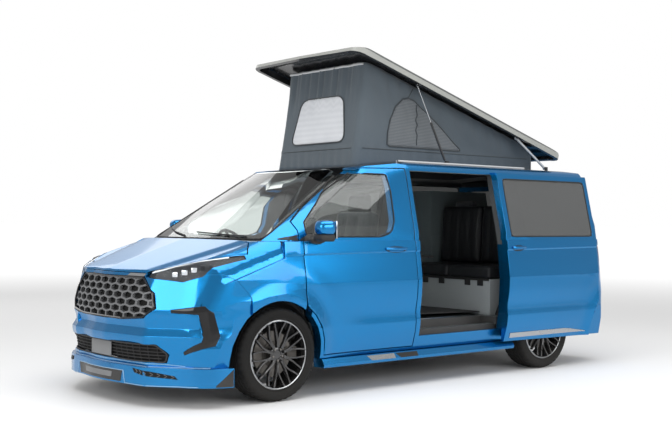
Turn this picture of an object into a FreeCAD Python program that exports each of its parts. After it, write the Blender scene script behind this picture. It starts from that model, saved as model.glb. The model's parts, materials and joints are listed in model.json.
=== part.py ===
# Camper van with an elevating roof, at full size.
#
# The frame is X forward, Y to the van's left, Z up, in millimetres.  The origin is on the ground,
# midway between the axles, on the centre plane.  The van stands on its four wheels with the
# sliding side door open and the sleeping roof raised; every other door is shut.
import FreeCAD, Part
import math
import os
import re
from types import SimpleNamespace
from FreeCAD import Placement, Rotation, Vector

SIZES = [
    # whole vehicle
    ("wheelbase", 3100), ("front_overhang", 985), ("rear_overhang", 1000),
    ("front_axle", "=wheelbase / 2"), ("rear_axle", "=-wheelbase / 2"),
    ("nose", "=front_axle + front_overhang"), ("tail", "=rear_axle - rear_overhang"),
    ("half_width", 1000), ("roof_crown", 1915), ("belt_z", 1200),
    ("sill_z", 250), ("sill_out_y", "=half_width - 138"), ("sill_width", 76),
    ("roof_edge_z", "=roof_crown - 48"), ("gutter_z", "=roof_crown - 125"),
    ("door_gap", 8), ("rebate_depth", 46), ("rebate_lip", 18), ("seat_gap", 0.3),
    ("glass_inset", 4), ("glass_thickness", 6),
    ("panel_thickness", 36), ("wall_thickness", 70), ("roof_thickness", 40),
    # wheels and brakes
    ("tyre_radius", 352), ("tyre_width", 245), ("rim_radius", 262), ("rim_width", 228),
    ("rim_wall", 9), ("track_half", "=half_width - 128"), ("hub_pin_radius", 32), ("hub_bore", 33),
    ("spoke_count", 10), ("spoke_width", 17), ("spoke_depth", 26), ("hub_radius", 62),
    ("disc_radius", 172), ("disc_thickness", 26), ("stub_reach", 88),
    ("arch_radius", 420), ("arch_z", "=tyre_radius - 17"), ("liner_radius", 430),
    ("liner_thickness", 7), ("rear_house_y", "=track_half - 217"), ("front_house_y", "=track_half - 360"),
    # steering and suspension
    ("kingpin_low_y", "=track_half - 57"), ("kingpin_low_z", 205),
    ("kingpin_top_y", "=track_half - 204"), ("kingpin_top_z", 838),
    ("knuckle_radius", 40), ("strut_radius", 21), ("kingpin_radius", 13), ("kingpin_bore", 13.6),
    ("arm_thickness", 30),
    # floor and structure
    ("floor_top", 500), ("floor_thickness", 70), ("floor_inset", 112),
    ("floor_half", "=half_width - floor_inset"), ("floor_rear", "=tail + 80"),
    ("step_top", 372), ("step_in_y", "=half_width - 310"), ("bulkhead_x", 1372), ("bulkhead_thickness", 22),
    ("engine_length", 520), ("engine_width", 640), ("engine_height", 500), ("engine_rear", 1660),
    ("engine_bottom", 350),
    # doors and windows, given by their shut lines
    ("front_door_fore", 1302), ("front_door_aft", 118), ("door_bottom", 318),
    ("slide_open_fore", 62), ("slide_open_aft", -985), ("slide_bottom", 400),
    ("slide_top", 1792), ("slide_travel", 1042), ("slide_out", 102),
    ("tailgate_bottom", 545), ("tailgate_top", 1806), ("tailgate_half", "=half_width - 138"),
    ("window_top", 1752), ("window_bottom", 1232),
    # raising roof
    ("lid_length", 2820), ("lid_half_width", "=half_width - 248"), ("lid_rim_height", 62),
    ("lid_crown", 52), ("lid_wall", 20), ("lid_open_angle", 16.5), ("lid_pivot_back", 618),
    ("lid_pivot_up", 12), ("arm_pivot_x", -1930), ("arm_pivot_z", 1894), ("arm_length", 505),
    ("arm_open_angle", 32.5), ("arm_y", "=lid_half_width - 80"),
    ("arm_bar", 12), ("pivot_radius", 6), ("pivot_bore", 6.8),
    ("tent_half", "=lid_half_width - 202"), ("tent_wall", 6), ("tent_front", 438), ("tent_rear", -1918),
    ("aperture_front", "=tent_front + seat_gap + 2"), ("aperture_rear", "=tent_rear - seat_gap"),
    ("aperture_half", "=tent_half + seat_gap"),
    ("strut_foot_x", -540), ("strut_foot_z", 1893), ("strut_head_x", -178), ("strut_head_z", 2554),
    ("gas_radius", 11), ("gas_rod_radius", 5), ("gas_bore", 5.8),
    # furniture
    ("bench_front", -1070), ("bench_depth", 640), ("bench_left", "=half_width - 265"), ("bench_right", -362),
    ("bench_base_height", 330), ("cushion_height", 118), ("back_height", 590),
    ("back_thickness", 118), ("back_setback", 385), ("kitchen_front", -60), ("kitchen_rear", -1460),
    ("kitchen_face", -385), ("kitchen_height", 510), ("furniture_wall", 16),
    ("seat_width", 500), ("seat_depth", 480), ("seat_x", 330), ("seat_y", 440),
    ("seat_base_height", 250), ("wheel_centre_x", 985), ("wheel_centre_z", 1118),
    ("grip_ring_radius", 190), ("grip_radius", 15), ("column_angle", 28),
    ("spindle_radius", 11), ("spindle_bore", 11.8),
    ("mirror_out", 137), ("rail_radius", 9),
]

doc = FreeCAD.newDocument("camper_van")
sheet = doc.addObject("Spreadsheet::Sheet", "sizes")
for row, (alias, size) in enumerate(SIZES, start=1):
    sheet.set(f"A{row}", alias)
    sheet.set(f"B{row}", str(size))
    sheet.setAlias(f"B{row}", alias)
doc.recompute()
s = SimpleNamespace(**{alias: float(sheet.get(alias)) for alias, _ in SIZES})
FAR = 4000.0
made = []


# Drawing helpers
def placed(plane, a, b, level):
    """A point of a flat drawing in the row frame."""
    return {"XZ": Vector(a, level, b), "YZ": Vector(level, a, b), "XY": Vector(a, b, level)}[plane]


def outline(plane, level, steps):
    """A closed wire.  Each step is an end point (a, b), or (mid_a, mid_b, a, b) for an arc."""
    first = steps[0]
    here, edges = placed(plane, first[0], first[1], level), []
    for step in list(steps[1:]) + [first[:2]]:
        there = placed(plane, step[-2], step[-1], level)
        if there.distanceToPoint(here) < 1e-6:
            continue
        if len(step) == 4:
            edges.append(Part.Arc(here, placed(plane, step[0], step[1], level), there).toShape())
        else:
            edges.append(Part.LineSegment(here, there).toShape())
        here = there
    return Part.Wire(edges)


def faceted(steps, turn=16.0, chords=None):
    """The same drawing with each arc as chords: so many, or as many as turn about the given degrees."""
    result = [steps[0][-2:]]
    for step in steps[1:]:
        if len(step) == 4:
            (ax, ay), (bx, by), (cx, cy) = result[-1], step[:2], step[2:]
            d = 2 * (ax * (by - cy) + bx * (cy - ay) + cx * (ay - by))
            a2, b2, c2 = ax * ax + ay * ay, bx * bx + by * by, cx * cx + cy * cy
            ox = (a2 * (by - cy) + b2 * (cy - ay) + c2 * (ay - by)) / d
            oy = (a2 * (cx - bx) + b2 * (ax - cx) + c2 * (bx - ax)) / d
            radius = math.hypot(ax - ox, ay - oy)
            start, mid, end = (math.atan2(y - oy, x - ox) for x, y in ((ax, ay), (bx, by), (cx, cy)))
            sweep = (end - start) % (2 * math.pi)
            if (mid - start) % (2 * math.pi) > sweep:
                sweep -= 2 * math.pi
            count = chords or max(2, round(math.degrees(abs(sweep)) / turn))
            for k in range(1, count):
                angle = start + sweep * k / count
                result.append((ox + radius * math.cos(angle), oy + radius * math.sin(angle)))
        result.append(step[-2:])
    return result


def taken_in(steps, inset):
    """The same drawing with every point moved inward by inset, square to its neighbours."""
    if not inset:
        return steps
    points = []
    for step in steps:
        points += [step[:2]] if len(step) == 2 else [step[:2], step[2:]]
    closed = points[0] == points[-1]
    if closed:
        points.pop()
    count = len(points)
    area = sum(points[i][0] * points[(i + 1) % count][1] - points[(i + 1) % count][0] * points[i][1]
               for i in range(count))
    turn = 1 if area > 0 else -1
    moved = []
    for i, (a, b) in enumerate(points):
        normals = []
        for (a0, b0), (a1, b1) in ((points[i - 1], (a, b)), ((a, b), points[(i + 1) % count])):
            length = math.hypot(a1 - a0, b1 - b0)
            normals.append((-(b1 - b0) / length * turn, (a1 - a0) / length * turn))
        na, nb = normals[0][0] + normals[1][0], normals[0][1] + normals[1][1]
        scale = 2 * inset / (na * na + nb * nb)
        moved.append((a + na * scale, b + nb * scale))
    if closed:
        moved.append(moved[0])
    result, at = [], 0
    for step in steps:
        size = len(step) // 2
        result.append(sum(moved[at:at + size], ()))
        at += size
    return result


def prism(plane, low, high, steps, inset=0.0):
    """The outline, taken in by inset, as a solid from low to high across its plane."""
    face = Part.Face(outline(plane, low, faceted(taken_in(steps, inset), 15.0)))
    return face.extrude(placed(plane, 0, 0, high) - placed(plane, 0, 0, low))


def flat_faces(a, b, c, d):
    """The side between two edges: one flat face, or two that meet in a ridge if it is warped."""
    outward = (b - a).cross(c - a)
    height = outward.dot(d - a) / outward.Length
    if abs(height) < 1e-5:
        rings = [(a, b, c, d)]
    elif height < 0:
        rings = [(a, b, c), (a, c, d)]
    else:
        rings = [(a, b, d), (b, c, d)]
    return [Part.Face(Part.makePolygon(list(ring) + [ring[0]])) for ring in rings]


def closed(faces):
    """A solid from faces that meet edge to edge."""
    solid = Part.Solid(Part.Shell(faces))
    if solid.Volume < 0:
        solid.reverse()
    return solid


def lofted(plan, levels, inset):
    """A solid through the plan drawn at each level, with flat sides."""
    sections = []
    for z in levels:
        points = [Vector(x, y, z) for x, y in taken_in(plan(z), inset)]
        if points[0].distanceToPoint(points[-1]) < 1e-6:
            points.pop()
        sections.append(points[::-1])
    faces = [Part.Face(Part.makePolygon(ring + ring[:1])) for ring in (sections[0], sections[-1])]
    for low, high in zip(sections, sections[1:]):
        for i, start in enumerate(low):
            j = (i + 1) % len(low)
            faces += flat_faces(start, low[j], high[j], high[i])
    return closed(faces)


def turned(profile, sides):
    """A ring turned about the Y axis from its (radius, y) corners, in flat sides."""
    faces = []
    for k in range(sides):
        turns = [2 * math.pi * k / sides, 2 * math.pi * (k + 1) / sides]
        near, far = [[Vector(r * math.sin(turn), y, r * math.cos(turn)) for r, y in profile]
                     for turn in turns]
        for i, start in enumerate(near):
            j = (i + 1) % len(near)
            faces += flat_faces(start, near[j], far[j], far[i])
    return closed(faces)


def block(x0, x1, y0, y1, z0, z1):
    """A plain block between two corners."""
    return Part.makeBox(x1 - x0, y1 - y0, z1 - z0, Vector(x0, y0, z0))


def bar(start, end, radius, sides=12):
    """A bar from start to end with that many flat sides."""
    along = Vector(end) - Vector(start)
    lie = Rotation(Vector(0, 0, 1), along)
    corners = []
    for k in range(sides + 1):
        turn = 2 * math.pi * k / sides
        corner = Vector(radius * math.cos(turn), radius * math.sin(turn), 0)
        corners.append(Vector(start) + lie.multVec(corner))
    return Part.Face(Part.makePolygon(corners)).extrude(along)


def other_side(shape):
    """The same piece on the van's right."""
    return shape.mirror(Vector(0, 0, 0), Vector(0, 1, 0))


def joined(shapes):
    """One solid from pieces that overlap."""
    whole = shapes[0].multiFuse(shapes[1:]).removeSplitter()
    return whole


def finish(label, shape, placement=None):
    """Files a finished shape as a sub-part of the document."""
    piece = doc.addObject("Part::Feature", label)
    piece.Label = label
    piece.Shape = shape
    if placement is not None:
        piece.Placement = placement
    made.append(piece)
    return piece


# The body's outer form
def roof_profile():
    """The roof line seen from the left, falling to the windscreen and, less, to the tail."""
    crown = s.roof_crown
    return faceted([
        (2700, 100), (2700, crown - 660), (790, crown - 98, -450, crown),
        (-1500, crown - 18, -2700, crown - 82), (-2700, 100),
    ])


def cross_section():
    """Section across the cabin: barrel side, upright glass leaning in, rounded roof rail."""
    left = [
        (s.half_width - 72, s.sill_z - 45), (s.half_width, 700, s.half_width - 32, s.belt_z),
        (s.half_width - 168, s.gutter_z),
        (s.half_width - 205, s.roof_edge_z - 22, s.half_width - 270, s.roof_edge_z),
    ]
    right = [
        (-(s.half_width - 270), s.roof_edge_z),
        (-(s.half_width - 205), s.roof_edge_z - 22, -(s.half_width - 168), s.gutter_z),
        (-(s.half_width - 32), s.belt_z),
        (-s.half_width, 700, -(s.half_width - 72), s.sill_z - 45),
    ]
    crown = (0, s.roof_crown) + right[0]
    return faceted(left + [crown] + right[1:], 9.0)


def between(table, level):
    """A value read off a table of (level, value) pairs."""
    for (low, a), (high, b) in zip(table, table[1:]):
        if level <= high:
            return a + (b - a) * (level - low) / (high - low)
    return table[-1][1]


NOSE_BACK = [
    (150, 60), (205, 42), (300, 16), (430, 4), (560, 2), (700, 14), (850, 46), (985, 92), (1200, 200)]
TAIL_IN = [(150, 60), (205, 44), (400, 16), (560, 0), (640, 4), (900, 34), (1200, 74)]


def lower_plan(level=500):
    """Plan below the window line: rounded nose, straight sides, rounded tail corners."""
    nose, tail = s.nose - between(NOSE_BACK, level), s.tail + between(TAIL_IN, level)
    corner_x, side_x = nose - 236, s.nose - 590
    w = s.half_width
    return faceted([
        (side_x, w - 4), (nose - 357, w - 89, corner_x, w - 234),
        (nose - 78, w - 430), (nose - 30, 270), (nose - 7, 90), (nose - 7, -90), (nose - 30, -270),
        (nose - 78, 430 - w, corner_x, 234 - w), (nose - 357, 89 - w, side_x, 4 - w),
        (0, -w - 4, s.tail + 300, 10 - w), (tail + 70, 42 - w, tail + 20, 230 - w),
        (tail, 0, tail + 20, w - 230), (tail + 70, w - 42, s.tail + 300, w - 10),
        (0, w + 4, side_x, w - 4),
    ], chords=4)


def upper_plan(level):
    """Plan at one height above the window line; the windscreen end slides back as it rises."""
    up = (level - s.belt_z) / 750.0
    back = 1165 * up
    centre_x = s.front_axle + 200 - back
    corner_x, corner_y = s.front_axle + 35 - back, 800 - 262 * up
    pillar_x, pillar_y = s.front_axle - 110 - back, 902 - 175 * up
    w = s.half_width
    tail = s.tail + 76 + 150 * up
    side = s.half_width - 12
    return faceted([
        (pillar_x, pillar_y), (corner_x, corner_y),
        (centre_x, 0, corner_x, -corner_y), (pillar_x, -pillar_y),
        (-1700, -(w + 20)), (s.tail + 300, -side), (tail + 74, 36 - side, tail + 22, 222 - side),
        (tail, 0, tail + 22, side - 222), (tail + 74, side - 36, s.tail + 300, side),
        (-1700, w + 20),
    ], chords=4)


def over_bonnet(inset):
    """The room above the crowned bonnet, running down to the nose along the bonnet's slope."""
    drop = inset * 1.06
    start, slope = s.front_axle - 60, 0.335
    high = slope * (s.front_axle + 205 - start) - drop
    w = s.half_width - inset
    steps = [
        (FAR, 985 + high), (w - 36, 985 + high),
        (w - 92, 1112 + high, w - 205, 1176 + high), (0, 1208 + high, 205 - w, 1176 + high),
        (92 - w, 1112 + high, 36 - w, 985 + high),
        (-FAR, 985 + high), (-FAR, FAR), (FAR, FAR),
    ]
    face = Part.Face(outline("YZ", start, faceted(steps, 12.0)))
    return face.extrude(Vector(1200, 0, -1200 * slope))


def envelope(inset, roof_inset=None):
    """The closed outer form of the body, taken in by inset all round."""
    roof_inset = inset if roof_inset is None else roof_inset
    levels = [s.sill_z - 45 + inset, 430, 700, 985, s.belt_z]
    lower = lofted(lower_plan, levels, inset).cut(over_bonnet(roof_inset))
    upper = lofted(upper_plan, [s.belt_z, s.belt_z + 750], inset)
    across = prism("YZ", -FAR, FAR, cross_section(), inset)
    along = prism("XZ", -FAR, FAR, roof_profile(), roof_inset)
    return lower.fuse(upper).common(across).common(along)


OUTER = envelope(0)
PANEL_BACK = envelope(s.panel_thickness)
CABIN = envelope(s.wall_thickness, s.roof_thickness)
ROOM = envelope(s.wall_thickness + s.seat_gap, s.roof_thickness + s.seat_gap)
BAY = envelope(s.panel_thickness + s.seat_gap)
REBATE = envelope(s.rebate_depth)
GLASS_BACK = envelope(s.glass_inset + s.glass_thickness)
GLASS = envelope(s.glass_inset).cut(GLASS_BACK)
PANEL = OUTER.cut(PANEL_BACK)
WALL = OUTER.cut(CABIN)


# Shut lines and openings
def across(steps):
    """A drawing seen from the front or the back, drawn for a half width of 1000 and made the body's."""
    wide = s.half_width / 1000.0
    return [tuple(value * wide if i % 2 == 0 else value for i, value in enumerate(step)) for step in steps]


def arch_point(axle_x, radius, angle):
    """A point on a wheel arch, the angle counted from forward, upward."""
    turn = math.radians(angle)
    return (axle_x + radius * math.cos(turn), s.arch_z + radius * math.sin(turn))


def front_door_lines(grow=0.0):
    """Front door seen from the left: upright front edge, screen pillar, rear edge, wheel arch."""
    fore, aft = s.front_door_fore, s.front_door_aft
    radius = s.arch_radius + 35
    return taken_in([
        (fore, s.belt_z + 150), (fore, 960), arch_point(s.front_axle, radius, 124.5),
        arch_point(s.front_axle, radius, 153) + arch_point(s.front_axle, radius, 182),
        (aft, s.door_bottom), (aft - 4, s.window_top + 52), (fore - 600, s.window_top + 40),
    ], -grow)


def front_window_lines(inset=0.0):
    """Front door glass: it dips at the front for the mirror and leans with the screen pillar."""
    fore, aft = s.front_door_fore, s.front_door_aft
    return taken_in([
        (fore - 70, s.window_bottom), (fore - 70, s.belt_z + 140), (fore - 560, s.window_top),
        (aft + 196, s.window_top), (aft + 206, s.window_bottom + 130),
        (aft + 250, s.window_bottom + 36), (aft + 350, s.window_bottom),
    ], inset)


def sliding_door_lines(grow=0.0):
    """Sliding door in its shut place, its rear edge cut round the rear wheel arch."""
    fore = s.slide_open_fore + 50
    aft = s.slide_open_aft - 205
    radius = s.arch_radius + 35
    return taken_in([
        (fore, s.window_top + 56), (fore + 2, s.door_bottom - 26),
        arch_point(s.rear_axle, radius, -7), arch_point(s.rear_axle, radius, 18)
        + arch_point(s.rear_axle, radius, 37), (aft, 760), (aft, s.window_top + 56),
    ], -grow)


def sliding_window_lines(inset=0.0):
    """Fixed glass of the sliding door."""
    fore, aft = s.slide_open_fore, s.slide_open_aft - 150
    return taken_in([
        (fore - 15, s.window_top), (fore - 15, s.window_bottom), (aft, s.window_bottom),
        (aft, s.window_top),
    ], inset)


def slide_opening_lines():
    """The way in behind the sliding door."""
    return [
        (s.slide_open_fore, s.slide_top), (s.slide_open_fore, s.slide_bottom),
        (s.slide_open_aft, s.slide_bottom), (s.slide_open_aft, s.slide_top),
    ]


def rear_window_lines(inset=0.0):
    """Side glass over the rear wheel."""
    return taken_in([
        (s.slide_open_aft - 320, s.window_top), (s.slide_open_aft - 320, s.window_bottom),
        (s.tail + 190, s.window_bottom + 6), (s.tail + 240, s.window_top - 6),
    ], inset)


def tailgate_lines(inset=0.0):
    """Tailgate seen from behind."""
    half, low, high = s.tailgate_half, s.tailgate_bottom, s.tailgate_top
    return taken_in([
        (half - 30, low), (half, low + 160), (half - 12, s.belt_z), (half - 130, high),
        (-(half - 130), high), (-(half - 12), s.belt_z), (-half, low + 160), (-(half - 30), low),
    ], inset)


def tailgate_window_lines(inset=0.0):
    """Rear window."""
    half = s.tailgate_half - 70
    return taken_in([
        (half, s.window_bottom - 10), (half - 120, s.window_top - 30),
        (-(half - 120), s.window_top - 30), (-half, s.window_bottom - 10),
    ], inset)


def windscreen_lines(inset=0.0):
    """Windscreen seen from the front."""
    low, high = s.belt_z + s.seat_gap, s.roof_crown - 96
    return taken_in(across([
        (790, low), (782, s.belt_z + 70), (622, high), (-622, high), (-782, s.belt_z + 70),
        (-790, low),
    ]), inset)


def bonnet_lines(inset=0.0):
    """Bonnet in plan: it wraps over to the lamps and stops at the nose crease."""
    x, w = s.front_axle, s.half_width
    return taken_in([
        (x + 150, w - 212), (x + 236, w - 104), (x + 420, w - 172), (x + 719, w - 348),
        (x + 836, w - 500), (x + 960, w - 530), (x + 960, 530 - w), (x + 836, 500 - w),
        (x + 719, 348 - w), (x + 420, 172 - w), (x + 236, 104 - w), (x + 150, 212 - w),
        (x + 226, 0, x + 150, w - 212),
    ], inset)



def lamp_lines(inset=0.0):
    """Left headlamp seen from the front."""
    return taken_in(across([
        (478, 936), (486, 968), (652, 1016), (860, 1088), (928, 1104), (936, 1090), (862, 948),
        (745, 906), (655, 918),
    ]), inset)


def grille_lines(inset=0.0):
    """Eight-sided radiator opening seen from the front."""
    return taken_in(across([
        (462, 940), (598, 822), (628, 712), (545, 640), (300, 618),
        (-300, 618), (-545, 640), (-628, 712), (-598, 822), (-462, 940),
    ]), inset)


def intake_lines(inset=0.0):
    """Lower intake seen from the front."""
    return taken_in(across([
        (640, 452), (712, 385), (690, 322), (-690, 322), (-712, 385), (-640, 452),
    ]), inset)


def blade_lines(inset=0.0):
    """Left corner blade seen from the front: an open C round the bumper's corner."""
    return taken_in(across([
        (716, 706), (905, 738), (945, 690), (968, 520), (955, 452), (802, 382), (798, 404),
        (896, 478), (905, 560), (880, 676), (716, 684),
    ]), inset)


def wing_split(grow=0.0):
    """Side region of the bumper: everything below the line from the lamp down to the wheel arch."""
    x = s.front_axle
    return taken_in([
        (x + 262, 792), (x + 395, 930), (x + 470, 962), (FAR, 962), (FAR, 100), (x + 250, 100),
    ], -grow)


def arch_cut(axle_x, grow=0.0):
    """A wheel arch right through the body."""
    radius = s.arch_radius + grow
    return prism("XZ", -FAR, FAR, [
        (axle_x + radius, 0), (axle_x + radius, s.arch_z),
        (axle_x, s.arch_z + radius, axle_x - radius, s.arch_z), (axle_x - radius, 0)])


def both_sides(shape):
    """A left piece and its right twin, kept as two solids."""
    return Part.makeCompound([shape, other_side(shape)])


def solids(shape):
    """Only the solids of a boolean result, without slivers."""
    kept = [item for item in shape.Solids if item.Volume > 2000]
    return kept[0] if len(kept) == 1 else Part.makeCompound(kept)


ARCHES = arch_cut(s.front_axle).fuse(arch_cut(s.rear_axle))
SCREEN_ROOM = prism("YZ", 300, s.front_axle + 216, windscreen_lines(-s.seat_gap))
GATE_ROOM = prism("YZ", -FAR, s.tail + 235, tailgate_lines(-s.door_gap))
LAMP_REAR = s.front_axle + 262
REAR_BUMPER_ROOM = prism("XZ", -FAR, FAR, [
    (-FAR, 0), (s.rear_axle - 425, 0), (s.rear_axle - 425, 470), (s.rear_axle - 520, 560),
    (s.tail + 60, 560), (-FAR, 560)])
ROOF_HALF = s.half_width - 262
ROOF_LOW = s.roof_edge_z - 80
UNDERSIDE = block(s.tail + 78, FAR, 120 - s.half_width, s.half_width - 120, 0, s.sill_z + 100)


# Body shell
def side_region():
    """Extent of a side wall: above the skirt, and back from the screen pillar's foot."""
    low, fore = s.door_bottom - 30, s.front_axle - 300
    return [(-FAR, low), (fore, low), (fore, s.belt_z), (s.front_axle + 150, s.belt_z),
            (s.front_axle + 150, FAR), (-FAR, FAR)]


def body_side():
    """Left side wall from the screen pillar to the tail, open at both doors and its windows."""
    region = prism("XZ", 300, FAR, side_region())
    wall = WALL.common(region).cut(block(-FAR, FAR, -ROOF_HALF, ROOF_HALF, ROOF_LOW, FAR))
    for tool in (
        ARCHES, SCREEN_ROOM, GATE_ROOM, REAR_BUMPER_ROOM, UNDERSIDE,
        prism("XZ", 300, FAR, front_door_lines(s.door_gap)).cut(REBATE),
        prism("XZ", 300, FAR, front_door_lines(-s.rebate_lip)),
        prism("XZ", 300, FAR, slide_opening_lines()),
        prism("XZ", 300, FAR, rear_window_lines()),
    ):
        wall = wall.cut(tool)
    return solids(wall)


side = body_side()
finish("side_left", side)


def body_side_right():
    """Right side wall: one door, and two fixed side windows where the left has its sliding door."""
    region = prism("XZ", -FAR, -300, side_region())
    wall = WALL.common(region).cut(block(-FAR, FAR, -ROOF_HALF, ROOF_HALF, ROOF_LOW, FAR))
    for tool in (
        ARCHES, SCREEN_ROOM, GATE_ROOM, REAR_BUMPER_ROOM, UNDERSIDE,
        prism("XZ", -FAR, -300, front_door_lines(s.door_gap)).cut(REBATE),
        prism("XZ", -FAR, -300, front_door_lines(-s.rebate_lip)),
        prism("XZ", -FAR, -300, sliding_window_lines()),
        prism("XZ", -FAR, -300, rear_window_lines()),
    ):
        wall = wall.cut(tool)
    return solids(wall)


finish("side_right", body_side_right())


def roof_panel():
    """Fixed roof with the opening for the raising roof."""
    region = block(-FAR, FAR, -ROOF_HALF, ROOF_HALF, ROOF_LOW, FAR)
    skin = WALL.common(region).cut(SCREEN_ROOM).cut(GATE_ROOM)
    opening = block(s.aperture_rear, s.aperture_front, -s.aperture_half, s.aperture_half, 0, FAR)
    return solids(skin.cut(opening))


finish("roof_panel", roof_panel())


def front_wings():
    """Both front wings, from the door to the lamp and the bumper's line."""
    region = block(s.front_door_fore + s.door_gap / 2, s.front_axle + 1200, 3, FAR,
                   0, s.belt_z - s.seat_gap)
    wing = PANEL.common(region)
    for tool in (
        ARCHES, prism("XY", 0, FAR, bonnet_lines(-s.door_gap)), SCREEN_ROOM,
        prism("XZ", 0, FAR, front_door_lines(s.door_gap)),
        prism("XZ", 0, FAR, wing_split(s.seat_gap)),
        prism("YZ", LAMP_REAR, FAR, lamp_lines(-s.seat_gap)),
        block(s.front_axle - 320, s.front_axle, 0, FAR, 0, s.sill_z + 40),
    ):
        wing = wing.cut(tool)
    return both_sides(solids(wing))


finish("front_wings", front_wings())


def bonnet():
    """Bonnet skin, wrapped over to the lamps and the nose crease."""
    skin = PANEL.common(prism("XY", s.belt_z - 420, s.belt_z - 1, bonnet_lines()))
    skin = skin.cut(prism("YZ", s.front_axle + 150, FAR, lamp_lines(-4)))
    skin = skin.cut(other_side(prism("YZ", s.front_axle + 150, FAR, lamp_lines(-4))))
    skin = skin.cut(block(s.front_axle + 700, FAR, -FAR, FAR, 0, 966))
    return solids(skin)


finish("bonnet", bonnet())


def front_bumper():
    """Bumper wrapped round both corners, with the grille, intake and blade openings."""
    shell = PANEL.common(block(s.front_axle + 240, FAR, -FAR, FAR, 288, 962))
    shell = shell.common(prism("XZ", -FAR, FAR, wing_split()))
    for tool in (
        ARCHES, prism("YZ", s.front_axle + 600, FAR, grille_lines()),
        prism("YZ", s.front_axle + 600, FAR, intake_lines()),
        prism("YZ", s.front_axle + 300, FAR, blade_lines(-s.seat_gap)),
        other_side(prism("YZ", s.front_axle + 300, FAR, blade_lines(-s.seat_gap))),
        prism("YZ", LAMP_REAR, FAR, lamp_lines(-s.seat_gap)),
        other_side(prism("YZ", LAMP_REAR, FAR, lamp_lines(-s.seat_gap))),
    ):
        shell = shell.cut(tool)
    return solids(shell)


finish("front_bumper", front_bumper())


def nose_trims():
    """Headlamps and corner blades, each a left and a right solid in the bumper's thickness."""
    lamp = PANEL.common(prism("YZ", LAMP_REAR + s.seat_gap, FAR, lamp_lines()))
    lamp = lamp.cut(prism("XY", s.belt_z - 420, FAR, bonnet_lines(-4)))
    finish("headlamps", both_sides(solids(lamp.cut(ARCHES))))
    blade = PANEL.common(prism("YZ", s.front_axle + 320, FAR, blade_lines()))
    finish("bumper_blades", both_sides(solids(blade.cut(ARCHES))))


nose_trims()


def front_splitter():
    """Layered lip under the bumper, square cornered, reaching back to the wheel arches."""
    lip = prism("XY", 150, 288 - s.seat_gap, lower_plan(300), -22)
    lip = lip.cut(prism("XY", 100, 300, lower_plan(300), 60))
    lip = lip.common(block(s.front_axle + 250, FAR, -FAR, FAR, 140, 300))
    slope = prism("XZ", -FAR, FAR, [
        (s.front_axle + 200, 100), (s.nose + 40, 100), (s.nose + 40, 178), (s.nose - 20, 300),
        (s.front_axle + 200, 300)])
    return solids(lip.common(slope).cut(ARCHES))


finish("front_splitter", front_splitter())


# Honeycomb radiator grille
def honeycomb():
    """Rim of the radiator opening with a curved plate of six-sided holes inside it."""
    layer = GLASS_BACK.cut(PANEL_BACK).common(block(s.nose - 300, FAR, -700, 700, 300, 1000))
    plate = layer.common(prism("YZ", s.nose - 400, FAR, grille_lines(s.seat_gap)))
    pitch, reach = 96.0, 45.0
    holes = []
    inner = Part.Face(outline("YZ", 0, grille_lines(46)))
    for row in range(4):
        z = 672 + row * pitch * 0.87
        for column in range(-7, 8):
            y = (column + 0.5 * (row % 2)) * pitch
            if not inner.isInside(Vector(0, y, z), 0.01, True):
                continue
            turns = [math.radians(60 * k) for k in range(6)]
            corners = [(y + reach * math.sin(turn), z + reach * math.cos(turn)) for turn in turns]
            holes.append(prism("YZ", s.nose - 400, s.nose + 60, corners))
    return solids(plate.cut(Part.makeCompound(holes))), layer


def lower_grille(layer):
    """Frame and slats of the lower intake."""
    frame = layer.common(prism("YZ", s.nose - 400, FAR, intake_lines(s.seat_gap)))
    bays = []
    for low, high in ((335, 363), (373, 401), (411, 439)):
        bays.append(prism("YZ", s.nose - 400, FAR, [(-672, low), (-672, high), (-20, high), (-20, low)]))
        bays.append(prism("YZ", s.nose - 400, FAR, [(20, low), (20, high), (672, high), (672, low)]))
    inside = prism("YZ", s.nose - 400, FAR, intake_lines(14))
    return solids(frame.cut(Part.makeCompound(bays).common(inside)))


radiator_grille, nose_layer = honeycomb()
finish("grilles", Part.makeCompound([radiator_grille, lower_grille(nose_layer)]))


# Glass
def glazing():
    """Windscreen, fixed side glass and the glass of each opening piece."""
    screen = GLASS.common(prism("YZ", 700, FAR, windscreen_lines()))
    finish("windscreen", solids(screen))
    left_rear = GLASS.common(prism("XZ", 300, FAR, rear_window_lines(s.seat_gap)))
    right_rear = GLASS.common(prism("XZ", -FAR, -300, rear_window_lines(s.seat_gap)))
    right_mid = GLASS.common(prism("XZ", -FAR, -300, sliding_window_lines(s.seat_gap)))
    finish("side_windows", solids(Part.makeCompound([left_rear, right_rear, right_mid])))
    door = GLASS.common(prism("XZ", 300, FAR, front_window_lines(s.seat_gap)))
    door = door.cut(prism("YZ", 300, FAR, windscreen_lines(-s.door_gap - 8)))
    finish("door_glass_left", solids(door))
    finish("door_glass_right", solids(other_side(door)))
    slide = GLASS.common(prism("XZ", 300, FAR, sliding_window_lines(s.seat_gap)))
    slide.translate(Vector(-s.slide_travel, s.slide_out, 0))
    finish("sliding_door_glass", solids(slide))
    gate = GLASS.common(prism("YZ", -FAR, s.tail + 260, tailgate_window_lines(s.seat_gap)))
    finish("tailgate_glass", solids(gate))


glazing()


# Doors
def front_door():
    """Front door, stepped to lie in the rebate of the body side, with the window cut through."""
    panel = WALL.common(prism("XZ", 300, FAR, front_door_lines()))
    behind = envelope(s.rebate_depth - s.seat_gap)
    panel = panel.cut(behind.cut(prism("XZ", 300, FAR, front_door_lines(-s.rebate_lip - s.door_gap))))
    panel = panel.cut(block(-FAR, FAR, -ROOF_HALF - 4, ROOF_HALF + 4, ROOF_LOW - 8, FAR))
    panel = panel.cut(prism("YZ", 300, FAR, windscreen_lines(-s.door_gap - 8)))
    panel = panel.cut(prism("XZ", 300, FAR, front_window_lines()))
    return solids(panel)


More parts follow.
